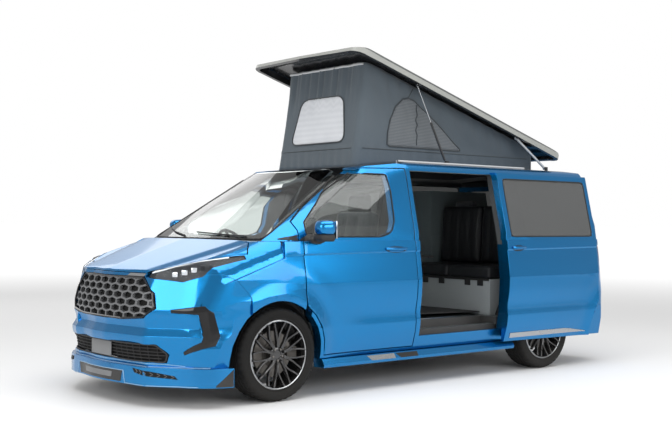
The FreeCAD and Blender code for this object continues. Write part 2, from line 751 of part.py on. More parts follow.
door = front_door()
finish("door_left", door)
finish("door_right", other_side(door))


def sliding_door():
    """Sliding door, slid back and out along the body side, as it stands open."""
    panel = WALL.common(prism("XZ", 300, FAR, sliding_door_lines()))
    panel = panel.cut(block(-FAR, FAR, -ROOF_HALF - 4, ROOF_HALF + 4, ROOF_LOW - 8, FAR))
    panel = panel.cut(prism("XZ", 300, FAR, sliding_window_lines()))
    panel = solids(panel)
    panel.translate(Vector(-s.slide_travel, s.slide_out, 0))
    clear_y = s.track_half + s.tyre_width / 2 + 7
    return solids(panel.cut(block(-FAR, FAR, 0, clear_y, 0, 2 * s.tyre_radius + 20)))


finish("sliding_door", sliding_door())


def tailgate():
    """Tailgate with its window cut through."""
    panel = WALL.common(prism("YZ", -FAR, s.tail + 228, tailgate_lines()))
    panel = panel.cut(prism("YZ", -FAR, s.tail + 300, tailgate_window_lines()))
    return solids(panel)


finish("tailgate", tailgate())


def mirror():
    """Left door mirror: long base on the door's shoulder and a rounded head."""
    w = s.half_width
    base = prism("XZ", w - 95, w + 10, [(1242, 1172), (1240, 1236), (1120, 1236), (1150, 1180)])
    head = prism("XZ", w - 18, w + s.mirror_out, [
        (1262, 1240), (1250, 1290), (1205, 1362), (1120, 1376), (1092, 1352), (1092, 1250), (1120, 1228)])
    head = head.makeFillet(22, [e for e in head.Edges if e.BoundBox.YLength > s.mirror_out * 0.7])
    stalk = block(1135, 1215, w - 70, w + 10, 1225, 1262)
    whole = head.fuse(stalk).fuse(base)
    whole = solids(whole.cut(OUTER))
    whole.translate(Vector(0, s.seat_gap, 0))
    return whole


mirror_left = mirror()
finish("mirror_left", mirror_left)
finish("mirror_right", other_side(mirror_left))


# Rear bumper, lamps and skirts
def rear_bumper():
    """Rear bumper wrapped forward to the wheel arches."""
    room = REAR_BUMPER_ROOM.common(block(-FAR, FAR, -FAR, FAR, 268, 560 - s.seat_gap))
    shell = WALL.common(room)
    skirt = OUTER.common(room).common(block(-FAR, s.tail + 60, -FAR, FAR, 268, 330))
    return solids(shell.fuse(skirt).cut(ARCHES).cut(UNDERSIDE).cut(GATE_ROOM))


finish("rear_bumper", rear_bumper())


def tail_lamp_room(inset=0.0):
    """Upright left lamp seen from behind, beside the tailgate."""
    steps = across([(884, 800), (965, 800), (945, 1270), (864, 1270)])
    return prism("YZ", -FAR, s.tail + 120, taken_in(steps, inset))


def tail_lamp():
    """Left tail lamp, as thick as an outer panel."""
    return solids(OUTER.common(tail_lamp_room(s.seat_gap)).cut(PANEL_BACK))


for piece in made:
    if piece.Label == "side_left":
        piece.Shape = solids(piece.Shape.cut(tail_lamp_room()))
    if piece.Label == "side_right":
        piece.Shape = solids(piece.Shape.cut(other_side(tail_lamp_room())))
finish("tail_lamps", both_sides(tail_lamp()))


def side_skirts():
    """Skirts between the wheel arches, under the doors."""
    fore, aft = s.front_axle - s.arch_radius - 12, s.rear_axle + s.arch_radius + 12
    top, inner = s.door_bottom - 34, s.sill_out_y + s.seat_gap
    skirt = prism("YZ", aft, fore, [
        (s.half_width - 34, top), (s.half_width - 3, s.sill_z - 8), (s.half_width - 12, 216),
        (inner + 6, 214), (inner, s.sill_z), (inner, top)])
    return both_sides(skirt)


finish("side_skirts", side_skirts())


# Pieces bound to the sheet
WORDS = {alias for alias, _ in SIZES}


def bind(item, prop, formula):
    """Ties one property of an object to a formula in the sheet's names."""
    item.setExpression(prop, re.sub("[a-z_]+", lambda found: "sizes." + found[0]
                                    if found[0] in WORDS else found[0], formula))


def bound(kind, name, at=("0", "0", "0"), turn=None, **formulas):
    """A Part primitive whose sizes and place follow the sheet."""
    item = doc.addObject("Part::" + kind, name)
    if turn is not None:
        item.Placement = Placement(Vector(0, 0, 0), turn)
    for letter, formula in zip("xyz", at):
        bind(item, "Placement.Base." + letter, formula)
    for prop, formula in formulas.items():
        bind(item, prop, formula)
    return item


def box(name, x, y, z):
    """A box from pairs of formulas, low end and length."""
    return bound("Box", name, (x[0], y[0], z[0]), Length=x[1], Width=y[1], Height=z[1])


def fused(label, items):
    """A union of bound pieces as a sub-part."""
    item = doc.addObject("Part::MultiFuse", label)
    item.Shapes = items
    item.Refine = True
    item.Label = label
    made.append(item)
    return item


def alone(item, label):
    """One bound piece as a sub-part by itself."""
    item.Label = label
    made.append(item)
    return item


def cut(name, base, tool):
    """Base less tool."""
    item = doc.addObject("Part::Cut", name)
    item.Base = base
    item.Tool = tool
    return item


def grouped(name, items):
    """Several bound pieces taken together."""
    item = doc.addObject("Part::MultiFuse", name)
    item.Shapes = items
    return item


ALONG_Y = Rotation(Vector(1, 0, 0), -90)
ALONG_X = Rotation(Vector(0, 1, 0), 90)


# Floor and bulkhead
def floor_pan():
    """Flat floor with a low step inside the side door, sills and four jacking pads."""
    slab = box("floor_slab", ("floor_rear", "bulkhead_x - floor_rear"),
               ("-floor_half", "2 * floor_half"), ("floor_top - floor_thickness", "floor_thickness"))
    tail_slab = box("tail_slab", ("floor_rear - 40", "rear_axle - liner_radius - 8 - floor_rear + 40"),
                    ("-half_width", "2 * half_width"), ("floor_top - floor_thickness", "floor_thickness"))
    cabin = doc.addObject("Part::Feature", "cabin_room")
    cabin.Shape = ROOM
    whole = doc.addObject("Part::Common", "floor_slabs")
    whole.Base = grouped("slabs", [slab, tail_slab])
    whole.Tool = cabin
    well = box("step_room", ("slide_open_aft", "slide_open_fore - slide_open_aft"),
               ("step_in_y", "400"), ("floor_top - floor_thickness - 10", "floor_thickness + 20"))
    holes = [well]
    for name in ("front", "rear"):
        wall = name + "_house_y"
        for side_name, low in (("left", wall + " - seat_gap"), ("right", "-" + wall + " - 500 + seat_gap")):
            holes.append(bound("Cylinder", f"{name}_{side_name}_wheel_room",
                               (name + "_axle", low, "arch_z"), ALONG_Y,
                               Radius="liner_radius + seat_gap", Height="500"))
    deck = cut("deck", whole, grouped("deck_holes", holes))
    parts = [deck]
    parts.append(box("step_plate", ("slide_open_aft + 4", "slide_open_fore - slide_open_aft - 8"),
                     ("step_in_y", "floor_half - step_in_y - 12"), ("step_top - 34", "34")))
    parts.append(box("step_riser", ("slide_open_aft + 4", "slide_open_fore - slide_open_aft - 8"),
                     ("step_in_y - 14", "20"), ("step_top - 34", "floor_top - step_top + 30")))
    for side_name, low in (("left", "sill_out_y - sill_width"), ("right", "-sill_out_y")):
        parts.append(box(f"sill_{side_name}", ("rear_axle + liner_radius + 6",
                         "front_axle - rear_axle - 2 * liner_radius - 12"), (low, "sill_width"),
                         ("sill_z", "floor_top - floor_thickness - sill_z + 10")))
    for side_name, y in (("left", "340"), ("right", "-340 - 90")):
        parts.append(box(f"chassis_rail_{side_name}", ("rear_axle + 80", "bulkhead_x - rear_axle - 100"),
                         (y, "90"), ("floor_top - floor_thickness - 90", "95")))
        parts.append(box(f"tail_rail_{side_name}", ("floor_rear + 60", "rear_axle - floor_rear - 140"),
                         (y, "90"), ("floor_top - floor_thickness - 60", "65")))
    for end, x in (("front", "front_axle - liner_radius - 210"), ("rear", "rear_axle + liner_radius + 90")):
        for side_name, y in (("left", "sill_out_y - sill_width"), ("right", "-sill_out_y")):
            parts.append(box(f"jack_pad_{end}_{side_name}", (x, "120"), (y, "sill_width"),
                             ("sill_z - 32", "36")))
    return fused("floor_pan", parts)


floor_pan()


def bulkhead():
    """Upright plate behind the engine bay, cut round the front wheel houses."""
    plate = box("bulkhead_plate", ("bulkhead_x - bulkhead_thickness", "bulkhead_thickness"),
                ("-floor_half", "2 * floor_half"), ("floor_top + seat_gap", "belt_z - 78 - floor_top"))
    rooms = []
    for side_name, low in (("left", "front_house_y - seat_gap"),
                           ("right", "-front_house_y - 500 + seat_gap")):
        rooms.append(bound("Cylinder", f"bulkhead_room_{side_name}", ("front_axle", low, "arch_z"),
                           ALONG_Y, Radius="liner_radius + seat_gap", Height="500"))
    plate = cut("bulkhead_cut", plate, grouped("bulkhead_rooms", rooms))
    cowl = box("cowl_box", ("bulkhead_x", "230"), ("-floor_half + 190", "2 * floor_half - 380"),
               ("belt_z - 150", "64"))
    return fused("bulkhead", [plate, cowl])


bulkhead()


def wheel_houses():
    """Inner wheel arches: a half drum and a side wall over each wheel."""
    pieces = []
    for axle_x, wall_y, reach in ((s.front_axle, s.front_house_y, 878),
                                  (s.rear_axle, s.rear_house_y, 874)):
        centre = Vector(axle_x, wall_y, s.arch_z)
        edge, skin = centre + Vector(0, reach - wall_y, 0), Vector(0, s.liner_thickness, 0)
        outer = bar(centre, edge, s.liner_radius, 24)
        inner = bar(centre + skin, edge, s.liner_radius - s.liner_thickness, 24)
        house = outer.cut(inner).common(block(-FAR, FAR, 0, FAR, s.arch_z - 20, FAR))
        if axle_x > 0:
            line = Vector(0, s.kingpin_top_y - s.kingpin_low_y, s.kingpin_top_z - s.kingpin_low_z)
            foot = Vector(axle_x, s.kingpin_low_y, s.kingpin_low_z)
            line.normalize()
            house = house.cut(bar(foot, foot + line * 900, 46))
            house = house.cut(block(axle_x - 80, axle_x + 80, wall_y - 5, wall_y + 12, 0, s.arch_z + 40))
            house = house.cut(block(axle_x - 800, axle_x + 800, 0, wall_y + 3, 0, s.arch_z + 60))
        else:
            house = house.cut(block(axle_x - 60, axle_x + 60, wall_y - 5, wall_y + 12,
                                    0, s.tyre_radius + 60))
        pieces += [solids(house), solids(other_side(house))]
    return Part.makeCompound(pieces)


finish("wheel_houses", wheel_houses())


# Engine bay and front suspension
alone(box("engine_box", ("engine_rear", "engine_length"), ("-engine_width / 2", "engine_width"),
          ("engine_bottom", "engine_height")), "engine_block")


def front_subframe():
    """Bay rails, cross members, strut towers and the lower arms with their ball sockets."""
    pieces = []
    for way in (1, -1):
        pieces.append(block(s.bulkhead_x + s.seat_gap, s.nose - 150,
                            way * 430 - 40, way * 430 + 40, 410, 520))
        ends = sorted((way * (s.engine_width / 2 + s.seat_gap), way * 400))
        pieces.append(block(1780, 1860, ends[0], ends[1], 440, 500))
    pieces.append(block(s.nose - 170, s.nose - 126, -560, 560, 450, 560))
    pieces.append(block(s.nose - 230, s.nose - 190, -450, 450, 880, 920))
    for y in (430, -430):
        pieces.append(block(s.nose - 230, s.nose - 190, y - 20, y + 20, 500, 900))
        buffer = block(s.nose - 225, s.nose - 195, y - 15, y + 15, 900, s.belt_z)
        pieces.append(buffer.common(BAY))
    pieces.append(block(s.front_axle - 60, s.front_axle + 60, -470, 470, 250, 330))
    for y in (400, -400):
        pieces.append(block(s.front_axle - 50, s.front_axle + 50, y - 50, y + 50, 320, 430))
    frame = joined(pieces)
    low = Vector(s.front_axle, s.kingpin_low_y, s.kingpin_low_z)
    line = Vector(0, s.kingpin_top_y - s.kingpin_low_y, s.kingpin_top_z - s.kingpin_low_z)
    line.normalize()
    half = s.arm_thickness / 2
    arm = prism("XY", s.kingpin_low_z - half, s.kingpin_low_z + half, [
        (s.front_axle - 34, s.kingpin_low_y), (s.front_axle - 16, s.kingpin_low_y + 26),
        (s.front_axle + 16, s.kingpin_low_y + 26), (s.front_axle + 34, s.kingpin_low_y),
        (s.front_axle + 34, 700), (s.front_axle + 56, 420), (s.front_axle - 56, 420),
        (s.front_axle - 34, 700)])
    arm = arm.fuse(block(s.front_axle - 50, s.front_axle + 50, 400, 462, s.kingpin_low_z - half, 260))
    socket = bar(low - line * 100, low + line * 100, s.kingpin_bore, 16)
    arm = arm.cut(socket)
    top = Vector(s.front_axle, s.kingpin_top_y, s.kingpin_top_z)
    tower = bar(top, top + line * 16, 62, 16)
    tower = tower.fuse(block(s.front_axle - 60, s.front_axle + 60, 470, 640,
                             s.kingpin_top_z + 4, s.kingpin_top_z + 16))
    tower = tower.fuse(block(s.front_axle - 60, s.front_axle + 60, 462, 505, 500, s.kingpin_top_z + 16))
    tower = tower.cut(bar(top - line * 60, top + line * 140, s.kingpin_bore, 16))
    whole = frame.multiFuse([arm, other_side(arm), tower, other_side(tower)])
    return solids(whole.removeSplitter())


finish("front_subframe", front_subframe())


def knuckle():
    """Left steering knuckle: stub pin, upright, brake caliper and the strut on the kingpin line."""
    low = Vector(s.front_axle, s.kingpin_low_y, s.kingpin_low_z)
    line = Vector(0, s.kingpin_top_y - s.kingpin_low_y, s.kingpin_top_z - s.kingpin_low_z)
    length = line.Length
    line.normalize()
    centre = Vector(s.front_axle, s.track_half, s.tyre_radius)
    inward = Vector(0, -1, 0)
    pieces = [
        bar(centre - inward * s.stub_reach, centre + inward * 60, s.hub_pin_radius, 16),
        bar(centre + inward * 2, centre + inward * 96, s.knuckle_radius + 14, 16),
        bar(low - line * 12, low + line * (length - 4), s.kingpin_radius, 16),
        bar(low + line * (s.arm_thickness / 2 + 14), low + line * (s.arm_thickness / 2 + 84),
            s.knuckle_radius - 8),
        bar(low + line * 100, low + line * (length - 50), s.strut_radius),
        block(s.front_axle - 26, s.front_axle + 26, s.track_half - 92, s.track_half - 42, 250, 460),
    ]
    back = s.track_half - 8
    mid_r = s.disc_radius - 22
    pieces.append(block(s.front_axle - mid_r - 62, s.front_axle - mid_r + 30, back - 30, back + 8, 300, 404))
    behind = s.front_axle - mid_r - 62
    pieces.append(block(behind, s.front_axle - mid_r + 26, back + 50, back + 60, 306, 398))
    pieces.append(block(behind, s.front_axle - s.disc_radius - 7, back, back + 56, 306, 398))
    pieces.append(block(s.front_axle - mid_r - 20, s.front_axle - 20, back - 44, back - 14, 330, 374))
    return solids(joined(pieces))


knuckle_left = knuckle()
finish("knuckle_left", knuckle_left)
finish("knuckle_right", other_side(knuckle_left))


def rear_axle():
    """Rear beam with trailing arms, springs and the two stub pins."""
    x, z = s.rear_axle, s.tyre_radius
    reach = s.track_half + s.stub_reach
    pieces = [bar((x, -reach, z), (x, reach, z), s.hub_pin_radius, 16),
              bar((x, -s.track_half + 2, z), (x, s.track_half - 2, z), s.knuckle_radius + 8, 16)]
    under = s.floor_top - s.floor_thickness - s.seat_gap
    for y in (545, -545):
        pieces.append(block(x - 20, x + 560, y - 32, y + 32, z - 34, z + 18))
        pieces.append(block(x + 500, x + 570, y - 36, y + 36, z - 20, under))
        pieces.append(bar((x + 150, y, z), (x + 150, y, under), 58))
    return joined(pieces)


finish("rear_axle", rear_axle())


# Wheels
def y_spoke(angle):
    """One forked spoke, drawn upright in the wheel's plane and turned into its place."""
    half, reach = s.spoke_width / 2, s.rim_radius - s.rim_wall + 2
    fork = 118.0
    spread = math.radians(11.5)
    tip_x, tip_z = reach * math.sin(spread), reach * math.cos(spread)
    steps = [
        (half + 3, s.hub_radius - 6), (half + 2, fork), (tip_x + half * 0.9, tip_z - 3),
        (tip_x - half * 0.9, tip_z + 3), (0, fork + 34), (-tip_x + half * 0.9, tip_z + 3),
        (-tip_x - half * 0.9, tip_z - 3), (-half - 2, fork), (-half - 3, s.hub_radius - 6),
    ]
    spoke = prism("XZ", 84, 84 + s.spoke_depth, steps)
    spoke.rotate(Vector(0, 0, 0), Vector(0, 1, 0), angle)
    return spoke


def rim():
    """Wheel at the origin, its outside towards +Y: barrel, forked spokes, hub and brake disc."""
    half = s.rim_width / 2
    profile = [
        (s.rim_radius - s.rim_wall, half), (s.rim_radius, half), (s.rim_radius, -half),
        (s.rim_radius - s.rim_wall, -half)]
    barrel = turned(profile, 36)
    hub = bar((0, 4, 0), (0, 110, 0), s.hub_radius, 16)
    disc = bar((0, 4, 0), (0, 4 + s.disc_thickness, 0), s.disc_radius, 18)
    spokes = [y_spoke(360 / s.spoke_count * k) for k in range(int(s.spoke_count))]
    whole = joined([barrel, hub, disc] + spokes)
    return solids(whole.cut(bar((0, 0, 0), (0, 92, 0), s.hub_bore, 16)))


def tyre():
    """Low-profile tyre seated on the rim, its sidewalls bulging a little past the tread."""
    half, seat = s.tyre_width / 2, s.rim_radius + s.seat_gap
    profile = [
        (seat, half - 22), (seat + 42, half), (s.tyre_radius - 14, half - 6), (s.tyre_radius, half - 26),
        (s.tyre_radius, 26 - half), (s.tyre_radius - 14, 6 - half), (seat + 42, -half), (seat, 22 - half)]
    return turned(profile, 36)


rim_shape, tyre_shape = rim(), tyre()
for name, x, left in (("front_left", s.front_axle, True), ("front_right", s.front_axle, False),
                      ("rear_left", s.rear_axle, True), ("rear_right", s.rear_axle, False)):
    y = s.track_half if left else -s.track_half
    place = Placement(Vector(x, y, s.tyre_radius), Rotation(Vector(0, 0, 1), 0))
    finish("rim_" + name, rim_shape if left else other_side(rim_shape), place)
    finish("tyre_" + name, tyre_shape if left else other_side(tyre_shape), place)


# Cab
def dashboard():
    """Dashboard across the cab, with the steering column reaching out of it on the right."""
    section = [
        (s.bulkhead_x - s.bulkhead_thickness, 1128), (s.bulkhead_x - 60, 1150), (s.bulkhead_x - 260, 1142),
        (s.bulkhead_x - 330, 1090), (s.bulkhead_x - 318, 980), (s.bulkhead_x - 250, 800),
        (s.bulkhead_x - 130, 760), (s.bulkhead_x - s.bulkhead_thickness, 760)]
    dash = prism("XZ", -870, 870, section)
    lean = math.radians(s.column_angle)
    along = Vector(math.cos(lean), 0, -math.sin(lean))
    centre = Vector(s.wheel_centre_x, -s.seat_y, s.wheel_centre_z)
    column = bar(centre + along * 62, centre + along * 322, 34)
    spindle = bar(centre + along * 10, centre + along * 130, s.spindle_radius)
    cab = block(-FAR, s.bulkhead_x - s.bulkhead_thickness - s.seat_gap, -FAR, FAR, 0, FAR)
    return solids(dash.fuse(column).fuse(spindle).common(cab))


finish("dashboard", dashboard())


def steering_wheel():
    """Steering wheel: grip ring, three spokes and a hub that turns on the column's spindle."""
    lean = math.radians(s.column_angle)
    along = Vector(math.cos(lean), 0, -math.sin(lean))
    corners = [(s.grip_ring_radius + s.grip_radius * math.cos(math.radians(60 * k)),
                s.grip_radius * math.sin(math.radians(60 * k))) for k in range(6)]
    ring = turned(corners, 20)
    ring.rotate(Vector(0, 0, 0), Vector(1, 0, 0), 90)
    reach = s.grip_ring_radius - 4
    pieces = [ring, bar((0, 0, -18), (0, 0, 24), 58, 16)]
    pieces.append(Part.makeBox(2 * reach, 34, 12, Vector(-reach, -17, -6)))
    pieces.append(Part.makeBox(36, reach, 12, Vector(-18, -reach, -6)))
    wheel = joined(pieces).cut(bar((0, 0, -20), (0, 0, 10), s.spindle_bore))
    lie = Rotation(Vector(0, 1, 0), Vector(0, 0, 1), along.negative(), "ZXY")
    centre = Vector(s.wheel_centre_x, -s.seat_y, s.wheel_centre_z)
    return solids(wheel), Placement(centre, lie)


ring_shape, ring_place = steering_wheel()
finish("steering_wheel", ring_shape, ring_place)


def cab_seat(label, y_formula):
    """Front seat: pedestal, cushion, backrest and headrest, bound to the sheet."""
    half = "seat_width / 2"
    parts = [
        box(label + "_pedestal", ("seat_x + 40", "seat_depth - 80"),
            (y_formula + " - seat_width / 2 + 40", "seat_width - 80"),
            ("floor_top + seat_gap", "seat_base_height + 4")),
        box(label + "_cushion", ("seat_x", "seat_depth"), (y_formula + " - " + half, "seat_width"),
            ("floor_top + seat_base_height", "cushion_height")),
    ]
    back = bound("Box", label + "_back",
                 ("seat_x + 96", y_formula + " - " + half, "floor_top + seat_base_height + 30"),
                 Rotation(Vector(0, 1, 0), -14), Length="back_thickness", Width="seat_width",
                 Height="back_height + 60")
    head = bound("Box", label + "_headrest",
                 ("seat_x - 68", y_formula + " - 130", "floor_top + seat_base_height + back_height + 75"),
                 Rotation(Vector(0, 1, 0), -10), Length="90", Width="260", Height="170")
    return parts + [back, head]


fused("front_seats", cab_seat("driver_seat", "-seat_y") + cab_seat("passenger_seat", "seat_y"))


# Living area
def bench():
    """Bench seat: a hollow locker with two cushions, the backrest leaning back a little."""
    outer = box("locker_outer", ("bench_front - bench_depth", "bench_depth"),
                ("bench_right", "bench_left - bench_right"),
                ("floor_top + seat_gap", "bench_base_height - seat_gap"))
    inner = box("locker_inner",
                ("bench_front - bench_depth + furniture_wall", "bench_depth - 2 * furniture_wall"),
                ("bench_right + furniture_wall", "bench_left - bench_right - 2 * furniture_wall"),
                ("floor_top + furniture_wall", "bench_base_height - 2 * furniture_wall"))
    arches = bound("Cylinder", "locker_wheel_room", ("rear_axle", "rear_house_y - 20", "arch_z"), ALONG_Y,
                   Radius="liner_radius + 6", Height="400")
    base = cut("locker_shell", outer, inner)
    whole = cut("locker", base, arches)
    alone(whole, "bench_base")
    cushion = box("bench_cushion", ("bench_front - bench_depth + 20", "bench_depth - 14"),
                  ("bench_right + 4", "bench_left - bench_right - 8"),
                  ("floor_top + bench_base_height + seat_gap", "cushion_height"))
    back = bound("Box", "bench_back", ("bench_front - back_setback - back_thickness", "bench_right + 4",
                 "floor_top + bench_base_height + cushion_height - 10"), Rotation(Vector(0, 1, 0), -7),
                 Length="back_thickness", Width="bench_left - bench_right - 8", Height="back_height + 40")
    fused("bench_cushions", [cushion, back])


bench()


def kitchen():
    """Side kitchen along the right wall: an open-topped carcase with a worktop."""
    outer = box("carcase_outer", ("kitchen_rear", "kitchen_front - kitchen_rear"),
                ("-floor_half", "kitchen_face + floor_half"),
                ("floor_top + seat_gap", "kitchen_height - seat_gap"))
    inner = box("carcase_inner",
                ("kitchen_rear + furniture_wall", "kitchen_front - kitchen_rear - 2 * furniture_wall"),
                ("-floor_half + furniture_wall", "kitchen_face + floor_half - 2 * furniture_wall"),
                ("floor_top + furniture_wall", "kitchen_height - 2 * furniture_wall"))
    room = bound("Cylinder", "carcase_wheel_room",
                 ("rear_axle", "-rear_house_y + 20 - 400", "arch_z"), ALONG_Y,
                 Radius="liner_radius + 6", Height="400")
    alone(cut("carcase", cut("carcase_shell", outer, inner), room), "kitchen_unit")


kitchen()


def rear_cupboard():
    """Tall cupboard behind the kitchen, against the right wall over the rear wheel."""
    outer = box("tall_outer", ("kitchen_rear - 900", "896"),
                ("-floor_half + 18", "kitchen_face + floor_half - 60"), ("floor_top + seat_gap", "1180"))
    inner = box("tall_inner", ("kitchen_rear - 900 + furniture_wall", "896 - 2 * furniture_wall"),
                ("-floor_half + 18 + furniture_wall",
                 "kitchen_face + floor_half - 60 - 2 * furniture_wall"),
                ("floor_top + furniture_wall", "1180 - 2 * furniture_wall"))
    room = bound("Cylinder", "tall_wheel_room", ("rear_axle", "-rear_house_y + 20 - 400", "arch_z"), ALONG_Y,
                 Radius="liner_radius + 6", Height="400")
    outside = doc.addObject("Part::Feature", "cabin_inside")
    outside.Shape = ROOM
    shell = cut("tall_shell", cut("tall_hollow", outer, inner), room)
    within = doc.addObject("Part::Common", "rear_cupboard")
    within.Base = shell
    within.Tool = outside
    alone(within, "rear_cupboard")


rear_cupboard()


# Raising roof
def tilt(shape, angle, pivot):
    """Turns a shape about a cross-axis through pivot, nose upward."""
    turned = shape.copy()
    turned.rotate(Vector(pivot), Vector(0, 1, 0), -angle)
    return turned


OPEN_ARM = math.radians(s.arm_open_angle)
PIVOT = (s.arm_pivot_x + s.arm_length * math.cos(OPEN_ARM), 0,
         s.arm_pivot_z + s.arm_length * math.sin(OPEN_ARM))
RIM_Z = PIVOT[2] - s.lid_pivot_up
LID_REAR = PIVOT[0] - s.lid_pivot_back
LID_FRONT = LID_REAR + s.lid_length


def roof_lid():
    """Shell lid with a rolled rim, drawn level; the hollow under it is open at the bottom."""
    w = s.lid_half_width
    plan = [
        (LID_REAR + 60, w - 8), (LID_REAR + 10, w - 40, LID_REAR, w - 150),
        (LID_REAR, -w + 150), (LID_REAR + 10, -w + 40, LID_REAR + 60, -w + 8),
        (LID_REAR + 700, -w), (LID_FRONT - 300, -w), (LID_FRONT - 150, -w + 6),
        (LID_FRONT - 48, -w + 34, LID_FRONT - 18, -w + 130), (LID_FRONT, 0, LID_FRONT - 18, w - 130),
        (LID_FRONT - 48, w - 34, LID_FRONT - 150, w - 6), (LID_FRONT - 300, w), (LID_REAR + 700, w),
    ]
    top = RIM_Z + s.lid_rim_height

    def form(edge, skin, low):
        across = [(w + 5, low), (w + 5, top - 26 - skin), (w - 18, top + 2 - skin, w - 120, top + 14 - skin),
                  (0, top + s.lid_crown - skin, -w + 120, top + 14 - skin),
                  (-w + 18, top + 2 - skin, -w - 5, top - 26 - skin), (-w - 5, low)]
        along = [(LID_REAR - 10, low), (LID_REAR - 10, top - 30 - skin),
                 (LID_REAR + 120, top + 18 - skin, LID_REAR + 420, top + 40 - skin),
                 ((LID_REAR + LID_FRONT) / 2, top + s.lid_crown + 4 - skin,
                  LID_FRONT - 420, top + 36 - skin),
                 (LID_FRONT - 150, top + 8 - skin, LID_FRONT + 10, top - 40 - skin), (LID_FRONT + 10, low)]
        body = prism("XY", low, RIM_Z + 400, faceted(plan, 24), edge)
        body = body.common(prism("YZ", LID_REAR - 100, LID_FRONT + 100, faceted(across, 24)))
        return body.common(prism("XZ", -FAR, FAR, faceted(along, 24)))

    return form(0, 0, RIM_Z).cut(form(38, s.lid_wall, RIM_Z - 20))


def pin(x, z, way):
    """A pivot pin across the plane of the arms and struts, on the left (1) or the right (-1)."""
    return bar((x, way * (s.arm_y - 12), z), (x, way * (s.arm_y + 20), z), s.pivot_radius, 10)


def lid():
    """The lid in its raised place, with lugs for the arms' pins and for the gas struts' heads."""
    w = s.lid_half_width
    back = math.radians(-s.lid_open_angle)
    head = Vector(s.strut_head_x - PIVOT[0], 0, s.strut_head_z - PIVOT[2])
    level_head = (PIVOT[0] + head.x * math.cos(back) - head.z * math.sin(back),
                  PIVOT[2] + head.x * math.sin(back) + head.z * math.cos(back))
    pieces = [roof_lid()]
    for x, z in ((PIVOT[0], PIVOT[2]), level_head):
        for way in (1, -1):
            inner, outer = s.arm_y + 14, w - 36
            ends = sorted((way * inner, way * outer))
            pieces.append(block(x - 20, x + 20, ends[0], ends[1], RIM_Z + 3, RIM_Z + 58))
            if x == PIVOT[0]:
                pieces.append(pin(x, z, way))
    return tilt(solids(joined(pieces)), s.lid_open_angle, PIVOT)


finish("roof_lid", lid())


def tent():
    """Fabric wall between the roof opening and the raised lid."""
    slope = math.tan(math.radians(s.lid_open_angle))

    def under(x):
        return RIM_Z + 44 + (x - PIVOT[0]) * slope

    front_top = s.tent_front - 131
    steps = [
        (s.tent_front, s.roof_crown - 44), (front_top, under(front_top)),
        (s.tent_rear, under(s.tent_rear)), (s.tent_rear, s.roof_crown - 66)]
    wall = s.tent_wall
    outer = prism("XZ", -s.tent_half, s.tent_half, steps)
    inner_steps = [
        (s.tent_front - wall, s.roof_crown - 100), (front_top - wall, under(front_top) + 50),
        (s.tent_rear + wall, under(s.tent_rear) + 50), (s.tent_rear + wall, s.roof_crown - 100)]
    inner = prism("XZ", -s.tent_half + wall, s.tent_half - wall, inner_steps)
    cloth = solids(outer.cut(inner).cut(OUTER))
    cloth.translate(Vector(0, 0, s.seat_gap))
    return cloth


finish("tent", tent())


def roof_arms():
    """Rear lifting arms: a left and a right bar with an eye at each end."""
    foot = Vector(s.arm_pivot_x, 0, s.arm_pivot_z)
    head = Vector(PIVOT)
    pieces, bores = [], []
    for y in (s.arm_y, -s.arm_y):
        side_way, half = Vector(0, y, 0), Vector(0, 11, 0)
        pieces.append(bar(foot + side_way, head + side_way, s.arm_bar, 8))
        for eye in (foot, head):
            pieces.append(bar(eye + side_way - half, eye + side_way + half, 16, 10))
            bores.append(bar(eye + side_way - half * 2, eye + side_way + half * 2, s.pivot_bore, 10))
    bars = pieces[0].multiFuse(pieces[1:])
    return solids(bars.cut(Part.makeCompound(bores)).removeSplitter())


finish("roof_arms", roof_arms())


def strut_parts():
    """Left gas strut in its raised place: the cylinder with its foot eye, and the rod with its head eye."""
    foot = Vector(s.strut_foot_x, s.arm_y, s.strut_foot_z)
    head = Vector(s.strut_head_x, s.arm_y, s.strut_head_z)
    line = head - foot
    line.normalize()
    half = Vector(0, 8, 0)
    barrel = bar(foot + line * 24, foot + line * 396, s.gas_radius)
    barrel = barrel.fuse(bar(foot, foot + line * 30, 5, 8)).fuse(bar(foot - half, foot + half, 10, 10))
    barrel = barrel.cut(bar(foot - half * 2, foot + half * 2, s.pivot_bore, 10))
    barrel = barrel.cut(bar(foot + line * 60, foot + line * 460, s.gas_bore, 10))
    shaft = bar(head - line * 388, head, s.gas_rod_radius, 10)
    shaft = shaft.fuse(bar(head - half, head + half, 10, 10))
    shaft = shaft.cut(bar(head - half * 2, head + half * 2, s.pivot_bore, 10))
    return solids(barrel), solids(shaft)


cylinder_left, rod_left = strut_parts()
finish("strut_cylinder_left", cylinder_left)
finish("strut_cylinder_right", other_side(cylinder_left))
finish("strut_rod_left", rod_left)
finish("strut_rod_right", other_side(rod_left))


def roof_brackets():
    """Brackets on the fixed roof with the pins of the arms and struts."""
    brackets = []
    for x, z in ((s.arm_pivot_x, s.arm_pivot_z), (s.strut_foot_x, s.strut_foot_z)):
        for way in (1, -1):
            inner, outer = s.arm_y + 14, s.arm_y + 26
            ends = sorted((way * inner, way * outer))
            plate = block(x - 18, x + 18, ends[0], ends[1], z - 90, z + 12)
            plate = plate.fuse(pin(x, z, way))
            brackets.append(solids(plate.cut(OUTER)))
    return Part.makeCompound(brackets)


finish("roof_brackets", roof_brackets())


